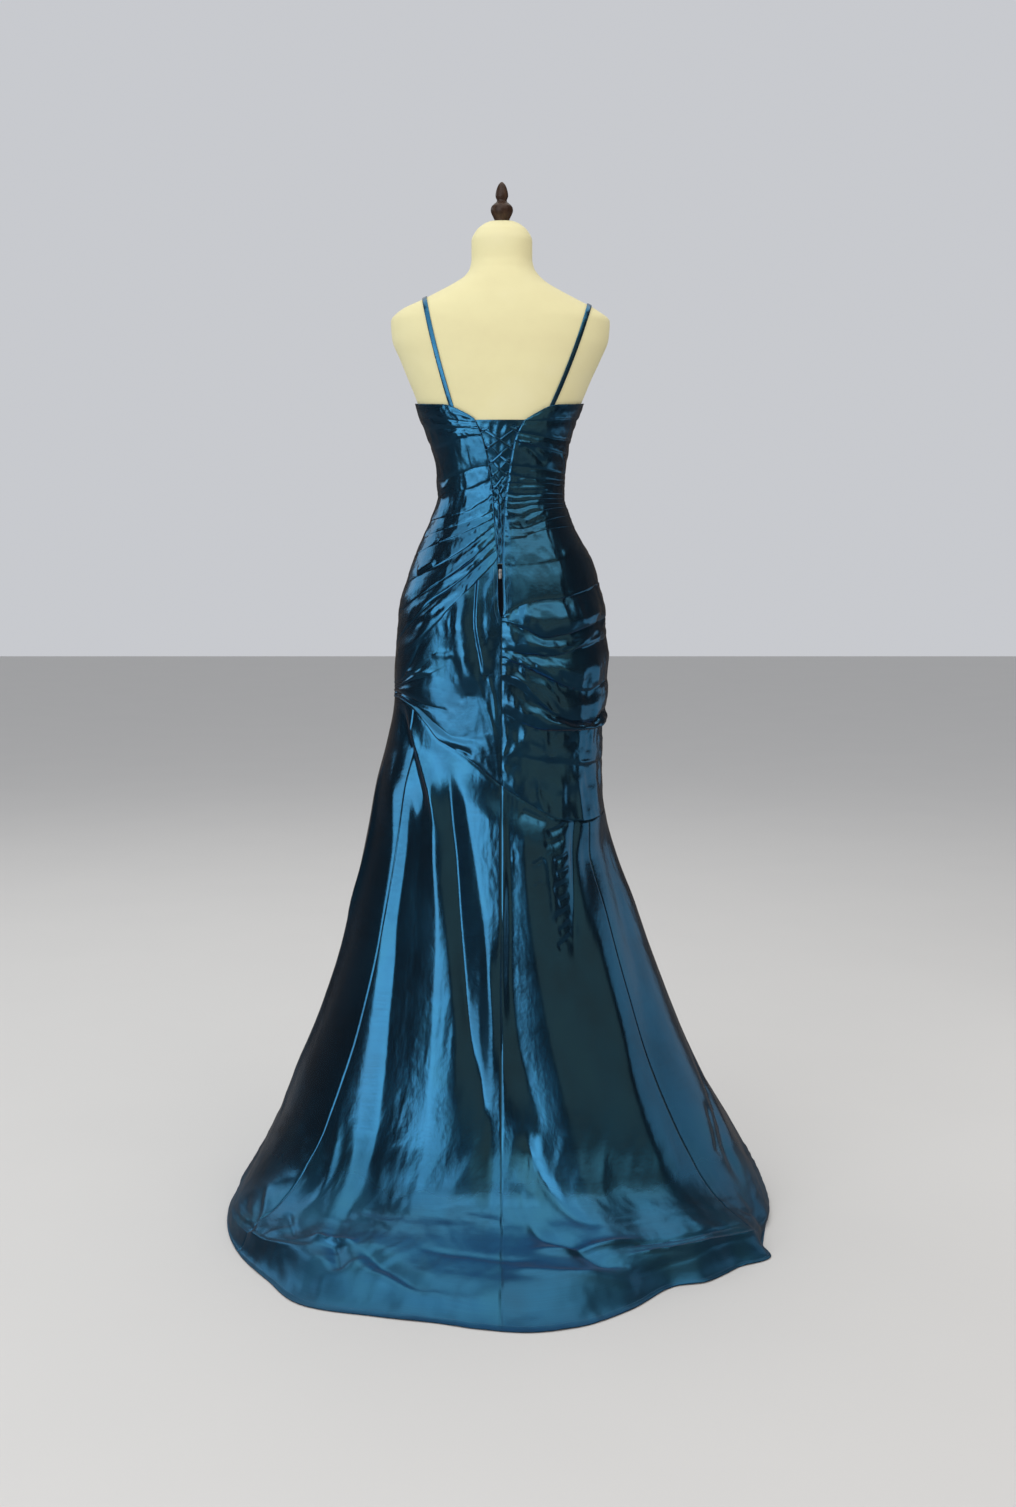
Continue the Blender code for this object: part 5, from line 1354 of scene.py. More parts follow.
def lace_places(first_side, passes_over):
    """One strand of the lacing as x, level and height, from loop to loop."""
    other_side = {"left": "right", "right": "left"}[first_side]
    course = []
    for k, (height, reach) in enumerate(loop_rows()):
        side = other_side if k % 2 else first_side
        inward = -SIDES[side]
        edge = edge_x(side, height)
        bar = edge + inward * (reach + LACE_CLEAR)
        if k:
            fore_x, fore_height = leaving
            level = LACE_OVER if passes_over else LACE_UNDER
            for share in ((0.35, 0.62) if passes_over else (0.38, 0.65)):
                course.append((fore_x + (bar - fore_x) * share, level,
                               fore_height + (height + LACE_CLEAR - fore_height) * share))
        else:
            course.append((bar + inward * 0.005, LACE_OVER, height + 0.004))
        near = edge + inward * (TURN_GAP + LACE_CLEAR)
        course += [(bar, LACE_OVER, height + LACE_CLEAR), (near, LACE_OVER - 0.0002, height + 0.0004),
                   (edge + inward * TURN_GAP, (LACE_OVER + LACE_UNDER) / 2, height),
                   (near, LACE_UNDER + 0.0002, height - 0.0004)]
        leaving = (bar, height - LACE_CLEAR)
        course.append((bar, LACE_UNDER, height - LACE_CLEAR))
    middle = (edge_x("left", height) + edge_x("right", height)) / 2
    course.append(((bar + middle) / 2, LACE_UNDER, height - 0.006))
    return course


def make_lacing():
    """Two crossing strands of flat rouleau through the loops."""
    for name, first_side, passes_over in (("lace_a", "left", True), ("lace_b", "right", False)):
        places = lace_places(first_side, passes_over)
        course = smooth_vectors([back_point(*p) for p in places], 4)
        ups = []
        for k, p in enumerate(course):
            across = Vector((p.x, p.y, 0)).normalized().cross(heading(course, k))
            ups.append(across if across.z > 0 else -across)
        rouleau(f"{name}_rouleau", course, ups, LACE_HALF_WIDTH, LACE_HALF_THICKNESS, sides=12,
                squareness=2.6, replaces=[name])


def make_loops():
    """Rouleau loops down both edges of the opening."""
    for side, sign in SIDES.items():
        inward = -sign
        points, size, turn = [], [], []
        for height, reach in loop_rows():
            x = edge_x(side, height)
            points.append(tuple(back_point(x - inward * LOOP_FEET, LOOP_LEVEL, height)))
            angle = math.atan2(points[-1][0], -points[-1][1])
            below = back_point(x, LOOP_LEVEL, height - LOOP_DROP)
            lean = math.atan2(below.y - points[-1][1], LOOP_DROP)
            size.append((inward * (reach + 0.0010) / LOOP_HALF_HEIGHT, 1.0, 1.0))
            turn.append((math.pi / 2 - lean, 0.0, angle))
        seed = bpy.data.meshes.new("loop_points")
        seed.from_pydata(points, [], [])
        for label, values in (("loop_size", size), ("loop_turn", turn)):
            layer = seed.attributes.new(label, "FLOAT_VECTOR", "POINT")
            layer.data.foreach_set("vector", np.array(values, dtype=np.float32).ravel())
        loops = outward(grown(f"loops_{side}", linked("loop_points", seed), "rouleau_loops", {
            "Half height": LOOP_HALF_HEIGHT, "Cord radius": LOOP_CORD_RADIUS,
            "Material": material_named("shot_taffeta")}))
        co = np.empty(len(loops.data.vertices) * 3, dtype=np.float32)
        loops.data.vertices.foreach_get("co", co)
        set_uv(loops.data, co.reshape(-1, 3)[:, [2, 0]])
        place(loops, replaces=[f"loop_{side}_{k}" for k in range(1, 7)], slot="taffeta")


def on_gown(angle, height, rise):
    """One point of the gown's outer face."""
    return gown_point(np.array([angle]), np.array([height]), np.array([rise]), sizes().cloth)[0][0]


def edge_cord(name, places, radius):
    """A narrow rolled edge along (angle, height, rise) places on the gown."""
    course = [Vector(on_gown(*at)) for at in places]
    ups = [Vector((p.x, p.y, 0)).normalized() for p in course]
    rouleau(name, course, ups, radius, radius, sides=8)


def neckline_course(side):
    """Angles and heights of a back piece's upper edge, from the opening to the side."""
    side_seam = SIDE_SEAM * SIDES[side]
    share = np.linspace(0.004, 1, 100)
    height = neckline_height(side, share * side_seam)
    edge = edge_angle(side, height)
    return list(zip(edge + (side_seam - edge) * share, height))


EDGE_END = 1.026         # where the rolled edges of the opening run out
EDGE_INSET = math.degrees(0.0007 / 0.1)


def make_edges():
    """Rolled edges at the neckline and down both sides of the back opening."""
    radius = sizes().cord / 2
    for side, sign in SIDES.items():
        places = []
        for height in np.linspace(TOP_CORNER + 0.0006, EDGE_END, 90):
            fade = float(ease_in((height - EDGE_END) / 0.05))
            angle = float(edge_angle(side, height)) + EDGE_INSET * sign
            places.append((angle, height, 0.0002 * fade - 0.0006))
        edge_cord(f"opening_edge_{side}", places, radius)
    left, right = neckline_course("left"), neckline_course("right")
    angles = np.linspace(SIDE_SEAM + 0.8, 360 - SIDE_SEAM - 0.8, 220)
    front = list(zip(angles, seam(TOP_EDGE, turned(angles))))
    course = right + front + [(a + 360, h) for a, h in reversed(left)]
    edge_cord("neckline_edge", [(a, h - 0.0002, -0.0004) for a, h in course], radius * 0.8)


HEM_STITCH_HEIGHT = 0.0042   # counts down the cloth: about 10 mm in from the hem
STITCH_SHARE = 0.66      # of its pitch that a stitch takes up
HEM_THREAD = 0.00024
ZIP_STITCH = (0.0026, 0.0017, 0.00018)    # pitch, length and the thread's radius
ZIP_ROW_ANGLE = 3.2      # from the opening's edge


def make_stitches():
    """Machine stitches round the hem and beside the zip."""
    angles = np.linspace(-180, 180, 721)
    level = np.full(angles.shape, HEM_STITCH_HEIGHT)
    outer = gown_point(angles, level, skirt_relief(angles, level) + 0.0001, sizes().cloth)[0]
    zip_rows = [[on_gown(float(edge_angle(side, height)) + sign * ZIP_ROW_ANGLE, height, 0.0009)
                 for height in np.linspace(1.098, 1.010, 24)] for side, sign in SIDES.items()]
    for name, lines, pitch, length, radius in (
            ("hem_stitches", [outer], sizes().stitch, sizes().stitch * STITCH_SHARE, HEM_THREAD),
            ("zip_stitches", zip_rows, *ZIP_STITCH)):
        place(grown(name, line_object(f"{name}_line", lines), "stitch_row", {
            "Pitch": pitch, "Length": length, "Radius": radius, "Material": material_named("thread")}))


PANEL_TOP = 1.334
PANEL_BOTTOM = 1.1040
PANEL_OVERLAP = 7.0
ZIP_TOP = 1.1035
ZIP_BOTTOM = 1.004
ZIP_HALF_ANGLE = 6.5
ZIP_MIDDLE = -1.3
ZIP_X = -0.0025
PIVOT_HEIGHT = 1.0905


def underlay_shell(name, heights, left, right, rise, material, cols):
    """A patch on the form between two edges, with its own relief."""
    height = heights[:, None] + np.zeros((1, cols))
    across = np.linspace(0, 1, cols)[None, :]
    angle = left(height) + (right(height) - left(height)) * across
    reach = torso_reach(angle, height)
    outer, inner = (round_pole(angle, reach + offset, height)
                    for offset in (FORM_GAP + UNDERLAY_WALL + rise(across, height), FORM_GAP + 0 * height))
    uv = np.stack([np.radians(angle) * reach, height], axis=-1)
    return shell(name, outer, inner, uv, material)


def panel_relief(across, height):
    """Soft gathers and dimples that the lacing presses into the modesty panel."""
    down = (PANEL_TOP - height) / (PANEL_TOP - PANEL_BOTTOM)
    vees = np.abs(across - 0.5) * 2
    chevron = np.cos((down * 8.5 + vees * 0.9) * 2 * math.pi)
    gather = np.cos((across * 6.0 + 0.4 * np.sin(down * 9)) * 2 * math.pi) * ease_in((0.3 - down) / 0.3)
    inside = ease_in(np.minimum(across, 1 - across) / 0.16)
    return (-0.0004 + 0.0004 * chevron + 0.00025 * gather) * inside * ease_in(down / 0.04)


def make_modesty_panel():
    """The panel behind the lacing, with the dents that the lace leaves in it."""
    heights = np.linspace(PANEL_TOP, PANEL_BOTTOM, 150)
    panel = underlay_shell(
        "modesty_panel_taffeta", heights, lambda z: edge_angle("left", z) - PANEL_OVERLAP,
        lambda z: edge_angle("right", z) + PANEL_OVERLAP, panel_relief,
        material_named("shot_taffeta"), 60)
    place(panel, replaces=["modesty_panel"], slot="taffeta")


def zip_axes():
    """The zip's place at the pull and how far the back leans there."""
    here = back_point(ZIP_X, 0.0, PIVOT_HEIGHT)
    below = back_point(ZIP_X, 0.0, PIVOT_HEIGHT - 0.012)
    return here, math.atan2(below.y - here.y, here.z - below.z)


def make_zip():
    """Tape and teeth of the back zip."""
    heights = np.linspace(ZIP_TOP, ZIP_BOTTOM, 40)
    tape = underlay_shell(
        "zip_tape_woven", heights, lambda z: 0 * z + ZIP_MIDDLE - ZIP_HALF_ANGLE,
        lambda z: 0 * z + ZIP_MIDDLE + ZIP_HALF_ANGLE,
        lambda across, height: 0 * height, material_named("woven_tape"), 14)
    place(tape, replaces=["zip_tape"], slot="zip_tape")
    line = [back_point(ZIP_X, FORM_GAP + UNDERLAY_WALL + 0.0006, h)
            for h in np.linspace(PIVOT_HEIGHT - 0.004, ZIP_BOTTOM + 0.002, sizes().teeth)]
    teeth = grown("zip_teeth", line_object("zip_line", [line]), "zip_teeth", {
        "Pitch": 0.0011, "Tooth": (0.0019, 0.0009, 0.0007), "Material": material_named("woven_tape")})
    place(teeth, slot="zip_tape")


SLIDER = {"width": 0.0050, "length": 0.0080, "level": 0.0021, "top": 0.0046}
BRIDGE = {"width": 0.0016, "length": 0.0056, "rise": 0.0028, "bar": 0.0008}
TAB = {"bar": 0.0005, "arm": 0.0019, "width": 0.0046, "length": 0.0125, "thickness": 0.0009}
PIVOT_RISE = 0.0012


def plate(name, outline, low, high, location, tilt, material, bevel, hole=None):
    """A flat metal piece: an outline in x and z pulled from low to high in y."""
    shape = bmesh.new()
    loops = [[shape.verts.new((x, low, z)) for x, z in ring] for ring in (outline, hole) if ring]
    edges = []
    for loop in loops:
        edges += [shape.edges.new((a, b)) for a, b in zip(loop, loop[1:] + loop[:1])]
    face = bmesh.ops.triangle_fill(shape, use_beauty=True, edges=edges)
    faces = [g for g in face["geom"] if isinstance(g, bmesh.types.BMFace)]
    pulled = bmesh.ops.extrude_face_region(shape, geom=faces)
    moved = [g for g in pulled["geom"] if isinstance(g, bmesh.types.BMVert)]
    bmesh.ops.translate(shape, verts=moved, vec=(0, high - low, 0))
    bmesh.ops.recalc_face_normals(shape, faces=shape.faces)
    turn = Matrix.Translation(location) @ Matrix.Rotation(tilt, 4, "X")
    bmesh.ops.transform(shape, matrix=turn, verts=shape.verts)
    mesh = bpy.data.meshes.new(name)
    shape.to_mesh(mesh)
    shape.free()
    mesh.materials.append(material)
    thing = linked(name, mesh)
    rounded = thing.modifiers.new("rounded edges", "BEVEL")
    rounded.width = bevel
    rounded.segments = 2
    rounded.limit_method = "ANGLE"
    return thing


def oval_outline(half_width, low, high, count, squareness=3.2):
    """A rounded rectangle of points from low to high."""
    middle, half = (low + high) / 2, (high - low) / 2
    x, z, _ = squared_circle(count, squareness)
    return list(zip((x * half_width).tolist(), (z * half + middle).tolist()))


METAL_EDGE = 35          # degrees over which the metal's edges stay crisp


def joined(name, things):
    """Several mesh objects as one, their modifiers baked in."""
    depsgraph = bpy.context.evaluated_depsgraph_get()
    shape = bmesh.new()
    for thing in things:
        baked = bpy.data.meshes.new_from_object(thing.evaluated_get(depsgraph))
        crisp(baked, METAL_EDGE)
        shape.from_mesh(baked)
        bpy.data.objects.remove(thing, do_unlink=True)
    shape.to_mesh(baked)
    shape.free()
    baked.name = name
    crisp(baked, METAL_EDGE)
    return linked(name, baked)


def make_slider():
    """A shaped slider with its bridge, and the pull that swings in it."""
    here, tilt = zip_axes()
    metal = material_named("gunmetal")
    base, top = -SLIDER["level"], -SLIDER["top"]
    w, n = SLIDER["width"] / 2, SLIDER["length"] / 2
    b, m, t = BRIDGE["width"] / 2, BRIDGE["length"] / 2, BRIDGE["bar"]
    high = top - BRIDGE["rise"]
    body = [(-w, n * 0.55), (-w * 0.86, n * 0.9), (-w * 0.4, n), (w * 0.4, n), (w * 0.86, n * 0.9),
            (w, n * 0.55), (w * 0.86, -n * 0.2), (w * 0.62, -n), (-w * 0.62, -n), (-w * 0.86, -n * 0.2)]
    parts = [plate(f"slider_{part}", outline, back, front, here, tilt, metal, bevel)
             for part, outline, back, front, bevel in (
                 ("body", body, top, base, 0.00025),
                 ("post_low", oval_outline(b, -m, -m + t, 12), high + t / 2, top + t, 0.0002),
                 ("post_high", oval_outline(b, m - t, m, 12), high + t / 2, top + t, 0.0002),
                 ("bar", oval_outline(b, -m, m, 20), high, high + t, 0.00025))]
    place(joined("zip_slider_cast", parts), replaces=["zip_slider"], slot="zip_metal")
    pivot = here + Vector((0, math.cos(tilt), math.sin(tilt))) * (top - PIVOT_RISE)
    p, half, end = TAB["width"] / 2, TAB["thickness"] / 2, -TAB["length"]
    eye = oval_outline(TAB["arm"] - 0.0004, -m - 0.0012, -TAB["bar"], 20)
    tip_hole = oval_outline(p * 0.42, end + 0.0012, end + 0.0042, 18)
    outline = oval_outline(p, end, TAB["bar"] * 1.6, 36, 4.5)
    upper = plate("pull_plate", outline, -half, half, pivot, tilt, metal, 0.0002, eye)
    rim = plate("pull_rim", oval_outline(p * 0.66, end + 0.0006, end + 0.0050, 24), -half * 1.35, -half * 0.9,
                pivot, tilt, metal, 0.0001, tip_hole)
    place(joined("zip_pull_tab", [upper, rim]), body=PULL, replaces=["zip_pull"], slot="zip_metal")


# ---------------------------------------------------------------- straps, form and stand
STRAP_WIDTH = 0.008
STRAP_THICKNESS = 0.0014
STRAP_GAP = 0.0014
STRAP_ENDS = {"back": 1.3618, "front": 1.3880}
STRAP_CENTRE = 1.40      # height from which the straps' leans are counted
STRAP_UNDER = 0.006      # how far the ends run on under the neckline
STRAP_STEPS = 72
HALVINGS = 26
STRAPS = {
    "left": {"back": -0.081, "shoulder": -0.127, "front": -0.084},
    "right": {"back": 0.080, "shoulder": 0.144, "front": 0.084},
}


def inside_torso(x, y, height):
    if not FORM_BASE < height < FORM_TOP:
        return False
    return math.hypot(x, y) < float(torso_reach(math.degrees(math.atan2(x, -y)), height))


def last_inside(high, inside):
    """The largest value up to high that is still inside, found by halving."""
    low = 0.0
    for _ in range(HALVINGS):
        middle = (low + high) / 2
        low, high = (middle, high) if inside(middle) else (low, middle)
    return low


def strap_point(x, lean, lift):
    """The form's surface in the plane of x, seen from its centre at an angle."""
    reach = lift + last_inside(0.3, lambda r: inside_torso(
        x, r * math.sin(lean), STRAP_CENTRE + r * math.cos(lean)))
    return Vector((x, reach * math.sin(lean), STRAP_CENTRE + reach * math.cos(lean)))


def strap_lean(x, height, sign):
    """The lean at which the form's surface lies at a height, back or front."""
    return sign * last_inside(math.radians(125), lambda lean: strap_point(x, sign * lean, 0.0).z > height)


def form_normal(p):
    """Direction out of the form at a point near its surface."""
    step = 0.002

    def depth(q):
        angle = math.degrees(math.atan2(q.x, -q.y))
        return math.hypot(q.x, q.y) / float(torso_reach(angle, min(q.z, FORM_TOP)))
    slope = [depth(p + d * step) - depth(p - d * step) for d in Matrix.Identity(3)]
    return Vector(slope).normalized()


def make_strap(side):
    """A soft flat rouleau strap from the back neckline over the shoulder."""
    places = STRAPS[side]
    start = strap_lean(places["back"], STRAP_ENDS["back"] - STRAP_UNDER, -1)
    stop = strap_lean(places["front"], STRAP_ENDS["front"] - STRAP_UNDER, 1)
    course, top = [], strap_point(places["shoulder"], 0.0, 0.0).z
    for k in range(STRAP_STEPS + 1):
        lean = start + (stop - start) * k / STRAP_STEPS
        end = "back" if lean < 0 else "front"
        x = places["shoulder"]
        for _ in range(4):
            low = (top - strap_point(x, lean, 0.0).z) / (top - STRAP_ENDS[end] + STRAP_UNDER)
            x = places["shoulder"] + (places[end] - places["shoulder"]) * (0.75 * low + 0.25 * low ** 2)
        under = 0.0016 * (1 - min(1.0, min(k, STRAP_STEPS - k) / 3))
        course.append(strap_point(x, lean, STRAP_GAP + STRAP_THICKNESS / 2 - under * 0.4))
    ups = [heading(course, k).cross(form_normal(p)).normalized() for k, p in enumerate(course)]
    rouleau(f"strap_{side}_rouleau", course, ups, STRAP_WIDTH / 2, STRAP_THICKNESS / 2, sides=16,
            squareness=3.0, tips=False, replaces=[f"strap_{side}"])


FORM_SEAMS = (-90, 90)   # side seams of the cover
COVER_SEAM_DEPTH = 0.0007
COVER_SEAM_WIDTH = 0.0022


def make_form():
    """The padded torso in its cream cover, with a shallow groove at each side seam."""
    heights = np.concatenate([np.linspace(FORM_BASE, 1.40, 60), np.linspace(1.406, 1.53, 26),
                              np.linspace(1.534, 1.63, 40), np.linspace(1.633, FORM_TOP, 20)])
    angle = np.arange(0, 360, 2.0)
    cols = angle.size
    rows = []
    for height in heights:
        reach = torso_reach(angle, height)
        for at in FORM_SEAMS:
            away = np.radians(turned(angle - at)) * reach
            reach = reach - COVER_SEAM_DEPTH * np.exp(-(away / COVER_SEAM_WIDTH) ** 2)
        rows.append(round_pole(angle, reach, np.full(cols, height)))
    points = np.concatenate(rows)
    index = np.arange(len(heights) * cols).reshape(len(heights), cols)
    nxt = np.roll(index, -1, axis=1)
    faces = np.stack([index[:-1], nxt[:-1], nxt[1:], index[1:]], axis=-1).reshape(-1, 4).tolist()
    faces.append(list(reversed(range(cols))))
    faces.append(list(range((len(heights) - 1) * cols, len(heights) * cols)))
    torso = mesh_object("form_cover_jersey", points, faces, material_named("cream_jersey"), ROUND_EDGE)
    place(outward(torso), replaces=["form_torso"], slot="form_cover")


FINIAL = read_points("height radius", """
    0 11.8, 4 12.4, 9 14.8, 15 17.6, 20 18.4, 25 16.8, 29 12.8, 32 9.2, 35 8.2, 38 9.4, 41 10.4, 46 10.2,
    52 8.8, 57 7, 61 4.6, 64 1.5
""")
FINIAL_CENTRE = (0.0, 0.009)
BASE_ROUND = 0.004       # rounding of the base's edges


def make_stand():
    """Turned finial, round base with its hub, and the pole."""
    wood = material_named("stained_beech")
    finial = [(FORM_TOP + TOUCH + h, r) for h, r in round_corners(np.array(FINIAL), 4)]
    top = STAND_THICKNESS + HUB_HEIGHT
    round_off = np.linspace(0, math.pi / 2, 6)
    inner = STAND_RADIUS - BASE_ROUND
    base = [(BASE_ROUND - BASE_ROUND * math.cos(a), inner + BASE_ROUND * math.sin(a)) for a in round_off]
    base += [(STAND_THICKNESS - BASE_ROUND + BASE_ROUND * math.sin(a), inner + BASE_ROUND * math.cos(a))
             for a in round_off]
    base += [(STAND_THICKNESS + 0.001, HUB_RADIUS + 0.006), (STAND_THICKNESS + 0.006, HUB_RADIUS),
             (top - 0.008, HUB_RADIUS * 0.80), (top - 0.004, HUB_RADIUS * 0.75), (top, HUB_RADIUS * 0.6)]
    pole = [(top + TOUCH, POLE_RADIUS - 0.0005), (top + TOUCH + 0.0006, POLE_RADIUS),
            (FORM_BASE - TOUCH - 0.0006, POLE_RADIUS), (FORM_BASE - TOUCH, POLE_RADIUS - 0.0005)]
    for name, profile, centre, count, solid in (
            ("finial_turned", finial, FINIAL_CENTRE, 56, "form_finial"),
            ("base_turned", base, (0, 0), 96, "stand_base"),
            ("pole_turned", pole, (0, 0), 40, "stand_pole")):
        place(lathe(name, profile, centre, wood, count), replaces=[solid], slot="stand_wood")


# ---------------------------------------------------------------- stage
CAMERA = {"place": (0.0101, -3.0, 1.15), "tilt": math.radians(83), "focal": 36 * 1779 / 1507}
LIGHTS = (     # name, azimuth, elevation, distance, aim height, width, height, radiance, colour
    ("key", -33, 7.5, 4.2, 0.85, 4.2, 1.0, 1.68, (0.94, 0.97, 1.0)),
    ("key_high", -31, 21.5, 4.5, 0.85, 3.6, 1.06, 1.12, (0.94, 0.97, 1.0)),
    ("key_low", -31, -6, 4.2, 0.85, 3.4, 1.0, 1.12, (0.94, 0.97, 1.0)),
    ("right_high", 32, 35, 4.2, 0.85, 3.4, 1.7, 0.42, (1.0, 0.82, 0.66)),
    ("right_low", 34, 2, 4.2, 0.85, 3.8, 2.4, 0.26, (1.0, 0.52, 0.33)),
    ("right_side", 103, 8, 1.8, 0.33, 1.6, 0.62, 0.36, (0.96, 0.98, 1.0)),
    ("over_left", -31, 47, 3.8, 0.85, 3.4, 2.5, 0.84, (0.96, 0.98, 1.0)),
    ("over_right", 28, 52, 3.8, 0.85, 3.6, 2.3, 0.62, (1.0, 0.94, 0.86)),
    ("top", 0, 101, 3.2, 0.85, 3.4, 4.0, 1.0, (1.0, 0.98, 0.93)),
    ("low_left", -117, 34, 4.2, 0.05, 2.6, 1.5, 1.10, (0.96, 0.98, 1.0)),
    ("front_left", -166, 30, 4.2, 0.85, 1.4, 1.8, 0.6, (1.0, 0.98, 0.95)),
    ("front_right", 168, 30, 4.2, 0.85, 1.4, 1.8, 0.45, (0.95, 0.98, 1.0)),
)
ROOM_LIGHT = 0.62
MIRRORED_LIGHT = 0.014   # the room's light as the cloth mirrors it
FLOOR_SIZE = 14.0
FLOOR_DROP = 0.0005      # keeps the floor just under the hem


def make_camera():
    """The camera behind the gown, a little above its middle."""
    data = bpy.data.cameras.new("camera")
    data.sensor_fit, data.sensor_height, data.lens = "VERTICAL", 36, CAMERA["focal"]
    camera = linked("camera", data)
    camera.location = CAMERA["place"]
    camera.rotation_euler = (CAMERA["tilt"], 0, 0)
    bpy.context.scene.camera = camera


def softbox(name, azimuth, elevation, distance, aim, width, height, radiance, colour):
    """An area light of one radiance that looks at the gown."""
    data = bpy.data.lights.new(name, "AREA")
    data.shape = "RECTANGLE"
    data.size, data.size_y = width, height
    data.energy = radiance * math.pi * width * height
    data.color = colour
    light = linked(name, data)
    a, e = math.radians(azimuth), math.radians(elevation)
    away = Vector((math.sin(a) * math.cos(e), -math.cos(a) * math.cos(e), math.sin(e))) * distance
    light.location = Vector((0, 0, aim)) + away
    light.rotation_euler = (-away).to_track_quat("-Z", "Y").to_euler()
    light.visible_camera = False


def make_world():
    """Soft even room light, kept low in reflections so that the silk's darks stay deep."""
    world = bpy.data.worlds.new("studio")
    bpy.context.scene.world = world
    world.use_nodes = True
    tree = world.node_tree
    mirrored = node(tree, "ShaderNodeLightPath").outputs["Is Glossy Ray"]
    strength = node(tree, "ShaderNodeMapRange", {
        "Value": mirrored, "To Min": ROOM_LIGHT, "To Max": MIRRORED_LIGHT})
    wire(tree, tree.nodes["Background"], {"Strength": strength.outputs[0], "Color": (0.93, 0.95, 1.0, 1.0)})


def make_floor():
    """A wide floor that is part of the studio, not of the gown."""
    shape = bmesh.new()
    bmesh.ops.create_grid(shape, x_segments=8, y_segments=8, size=FLOOR_SIZE)
    mesh = bpy.data.meshes.new("floor")
    shape.to_mesh(mesh)
    shape.free()
    mesh.materials.append(material_named("floor_paper"))
    mesh.transform(Matrix.Translation((0, 0, -FLOOR_DROP)))
    linked("floor", mesh)


def make_bodice():
    """The pleated bodice, back and front."""
    for side in SIDES:
        back_piece(f"bodice_back_{side}", side, lambda guess, side=side: neckline_height(side, guess),
                   lambda guess, side=side: seam(WAIST_SEAM[side], guess))
    front_piece("bodice_front", lambda a: seam(TOP_EDGE, turned(a)), lambda a: round_seam(WAIST_SEAM, a),
                13, 0.0040, 41)


def make_hips():
    """The hip pieces with their swags."""
    for side in SIDES:
        back_piece(f"hip_back_{side}", side, lambda guess, side=side: seam(WAIST_SEAM[side], guess),
                   lambda guess, side=side: seam(HIP_SEAM[side], guess))
    front_piece("hip_front", lambda a: round_seam(WAIST_SEAM, a), lambda a: round_seam(HIP_SEAM, a),
                8, 0.0050, 43)


def make_skirt():
    """The skirt's gores: name, first and last angle, and the angle from column to column."""
    for name, start, stop, step in (("back_left", -BACK_GORE, 0, 0.60), ("back_right", 0, BACK_GORE, 0.60),
                                    ("side_left", -FRONT_GORE, -BACK_GORE, 0.75),
                                    ("side_right", BACK_GORE, FRONT_GORE, 0.75),
                                    ("front", FRONT_GORE, 360 - FRONT_GORE, 1.2)):
        skirt_piece(f"skirt_{name}", start, stop, step)


def make_straps():
    """Both shoulder straps."""
    for side in STRAPS:
        make_strap(side)


def make_lights():
    """The studio's lamps."""
    for light in LIGHTS:
        softbox(*light)
    bpy.context.scene.view_settings.view_transform = "Standard"


# ---------------------------------------------------------------- operators
class GownOperator(bpy.types.Operator):
    """Shared parts of the gown's operators."""
    bl_options = {"REGISTER", "UNDO"}

    def execute(self, context):
        for make in self.makers:
            make()
        return {"FINISHED"}


class GOWN_OT_camera(GownOperator):
    """Places the camera that looks at the gown's back"""
    bl_idname, bl_label = "gown.camera", "Camera"
    makers = (make_camera,)


class GOWN_OT_lace_ends(GownOperator):
    """Hangs the two free ends of the lacing"""
    bl_idname, bl_label = "gown.lace_ends", "Lace ends"
    makers = (make_tails,)


class GOWN_OT_bodice(GownOperator):
    """Drapes the pleated bodice, back and front"""
    bl_idname, bl_label = "gown.bodice", "Bodice"
    makers = (make_bodice,)


class GOWN_OT_hips(GownOperator):
    """Drapes the hip pieces with their swags"""
    bl_idname, bl_label = "gown.hips", "Hips"
    makers = (make_hips,)


class GOWN_OT_skirt(GownOperator):
    """Hangs the skirt's gores down to the train"""
    bl_idname, bl_label = "gown.skirt", "Skirt"
    makers = (make_skirt,)


class GOWN_OT_opening(GownOperator):
    """Fills the back opening: modesty panel, lacing, loops and rolled edges"""
    bl_idname, bl_label = "gown.opening", "Back opening"
    makers = (make_modesty_panel, make_lacing, make_loops, make_edges)


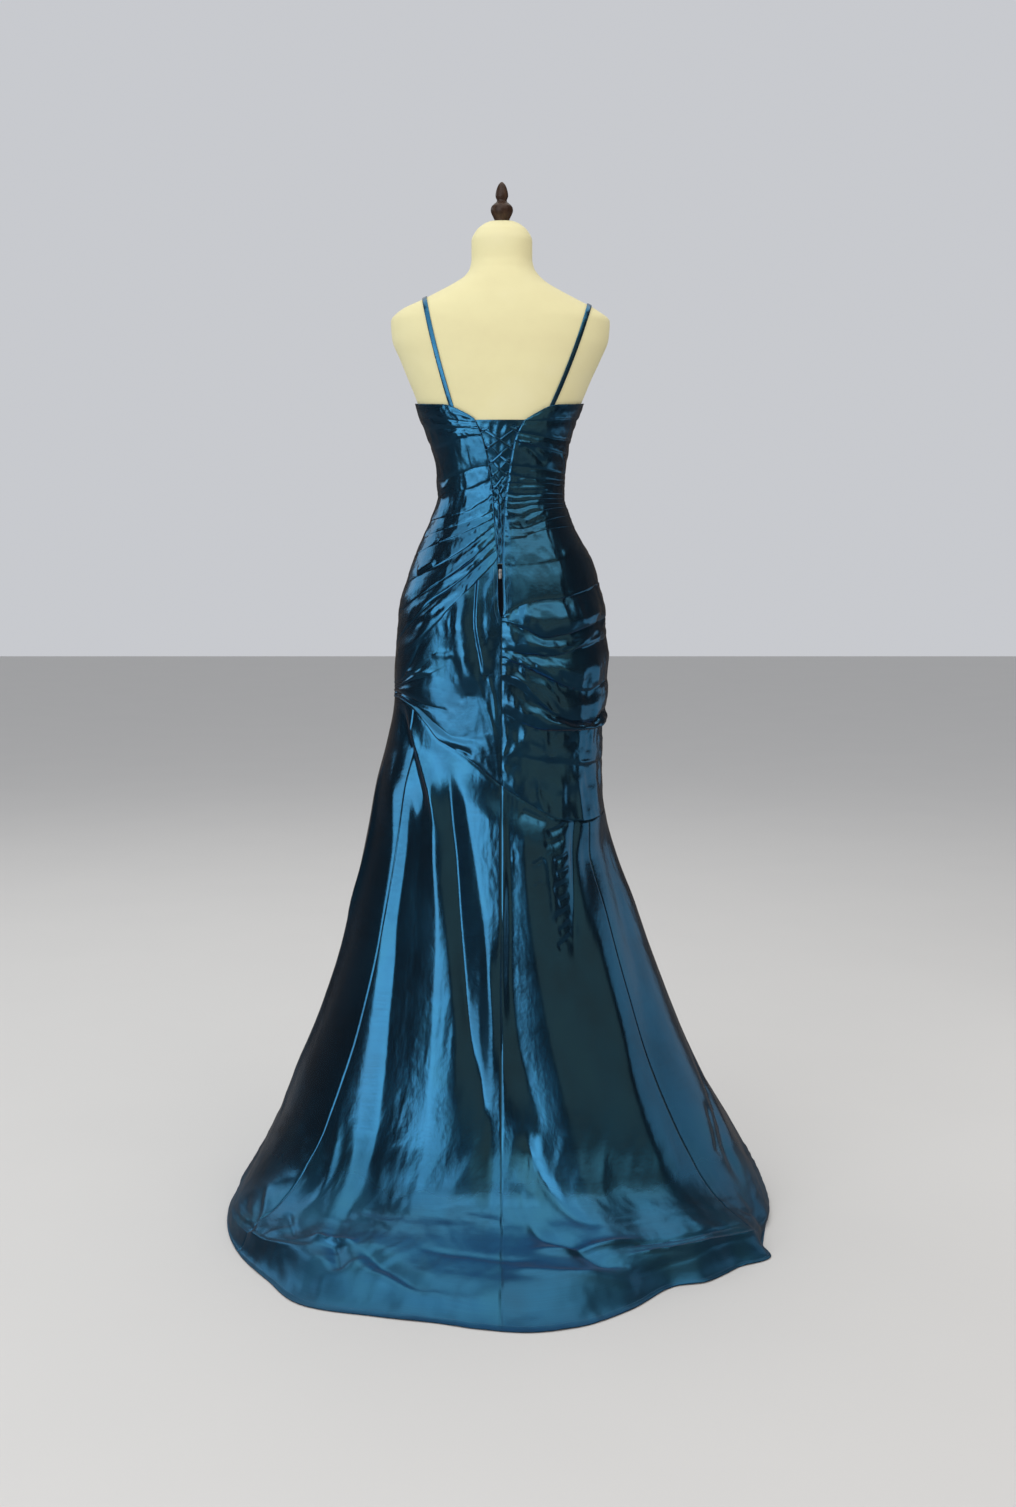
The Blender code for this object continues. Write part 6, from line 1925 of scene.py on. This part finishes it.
class GOWN_OT_zip(GownOperator):
    """Sets the zip below the lacing"""
    bl_idname, bl_label = "gown.zip", "Zip"
    makers = (make_zip, make_slider)


class GOWN_OT_straps(GownOperator):
    """Lays the shoulder straps on the form"""
    bl_idname, bl_label = "gown.straps", "Straps"
    makers = (make_straps,)


class GOWN_OT_stitches(GownOperator):
    """Sews the hem and the zip with rows of stitches"""
    bl_idname, bl_label = "gown.stitches", "Stitches"
    makers = (make_stitches,)


class GOWN_OT_form(GownOperator):
    """Covers the dress form and turns its stand"""
    bl_idname, bl_label = "gown.form", "Dress form"
    makers = (make_form, make_stand)


class GOWN_OT_stage(GownOperator):
    """Sets the floor, the room light and the lamps"""
    bl_idname, bl_label = "gown.stage", "Studio"
    makers = (make_floor, make_world, make_lights)


STEPS = (GOWN_OT_camera, GOWN_OT_lace_ends, GOWN_OT_bodice, GOWN_OT_hips, GOWN_OT_skirt, GOWN_OT_opening,
         GOWN_OT_zip, GOWN_OT_straps, GOWN_OT_stitches, GOWN_OT_form, GOWN_OT_stage)


class GOWN_PT_panel(bpy.types.Panel):
    """Lists the gown's sizes, colours and building steps"""
    bl_idname, bl_label = "GOWN_PT_panel", "Taffeta gown"
    bl_space_type, bl_region_type, bl_category = "VIEW_3D", "UI", "Gown"

    def draw(self, context):
        for group in (context.scene.gown_sizes, context.scene.gown_colours):
            column = self.layout.column(align=True)
            for name in group.__annotations__:
                column.prop(group, name)
        for step in STEPS:
            self.layout.operator(step.bl_idname)


CLASSES = (GownSizes, GownColours, *STEPS, GOWN_PT_panel)


def register():
    for kind in CLASSES:
        bpy.utils.register_class(kind)
    bpy.types.Scene.gown_sizes = PointerProperty(type=GownSizes)
    bpy.types.Scene.gown_colours = PointerProperty(type=GownColours)


def unregister():
    del bpy.types.Scene.gown_sizes
    del bpy.types.Scene.gown_colours
    for kind in reversed(CLASSES):
        bpy.utils.unregister_class(kind)


def main():
    """Builds every piece in order."""
    register()
    for step in STEPS:
        group, name = step.bl_idname.split(".")
        getattr(getattr(bpy.ops, group), name)()


if __name__ == "__main__":
    main()
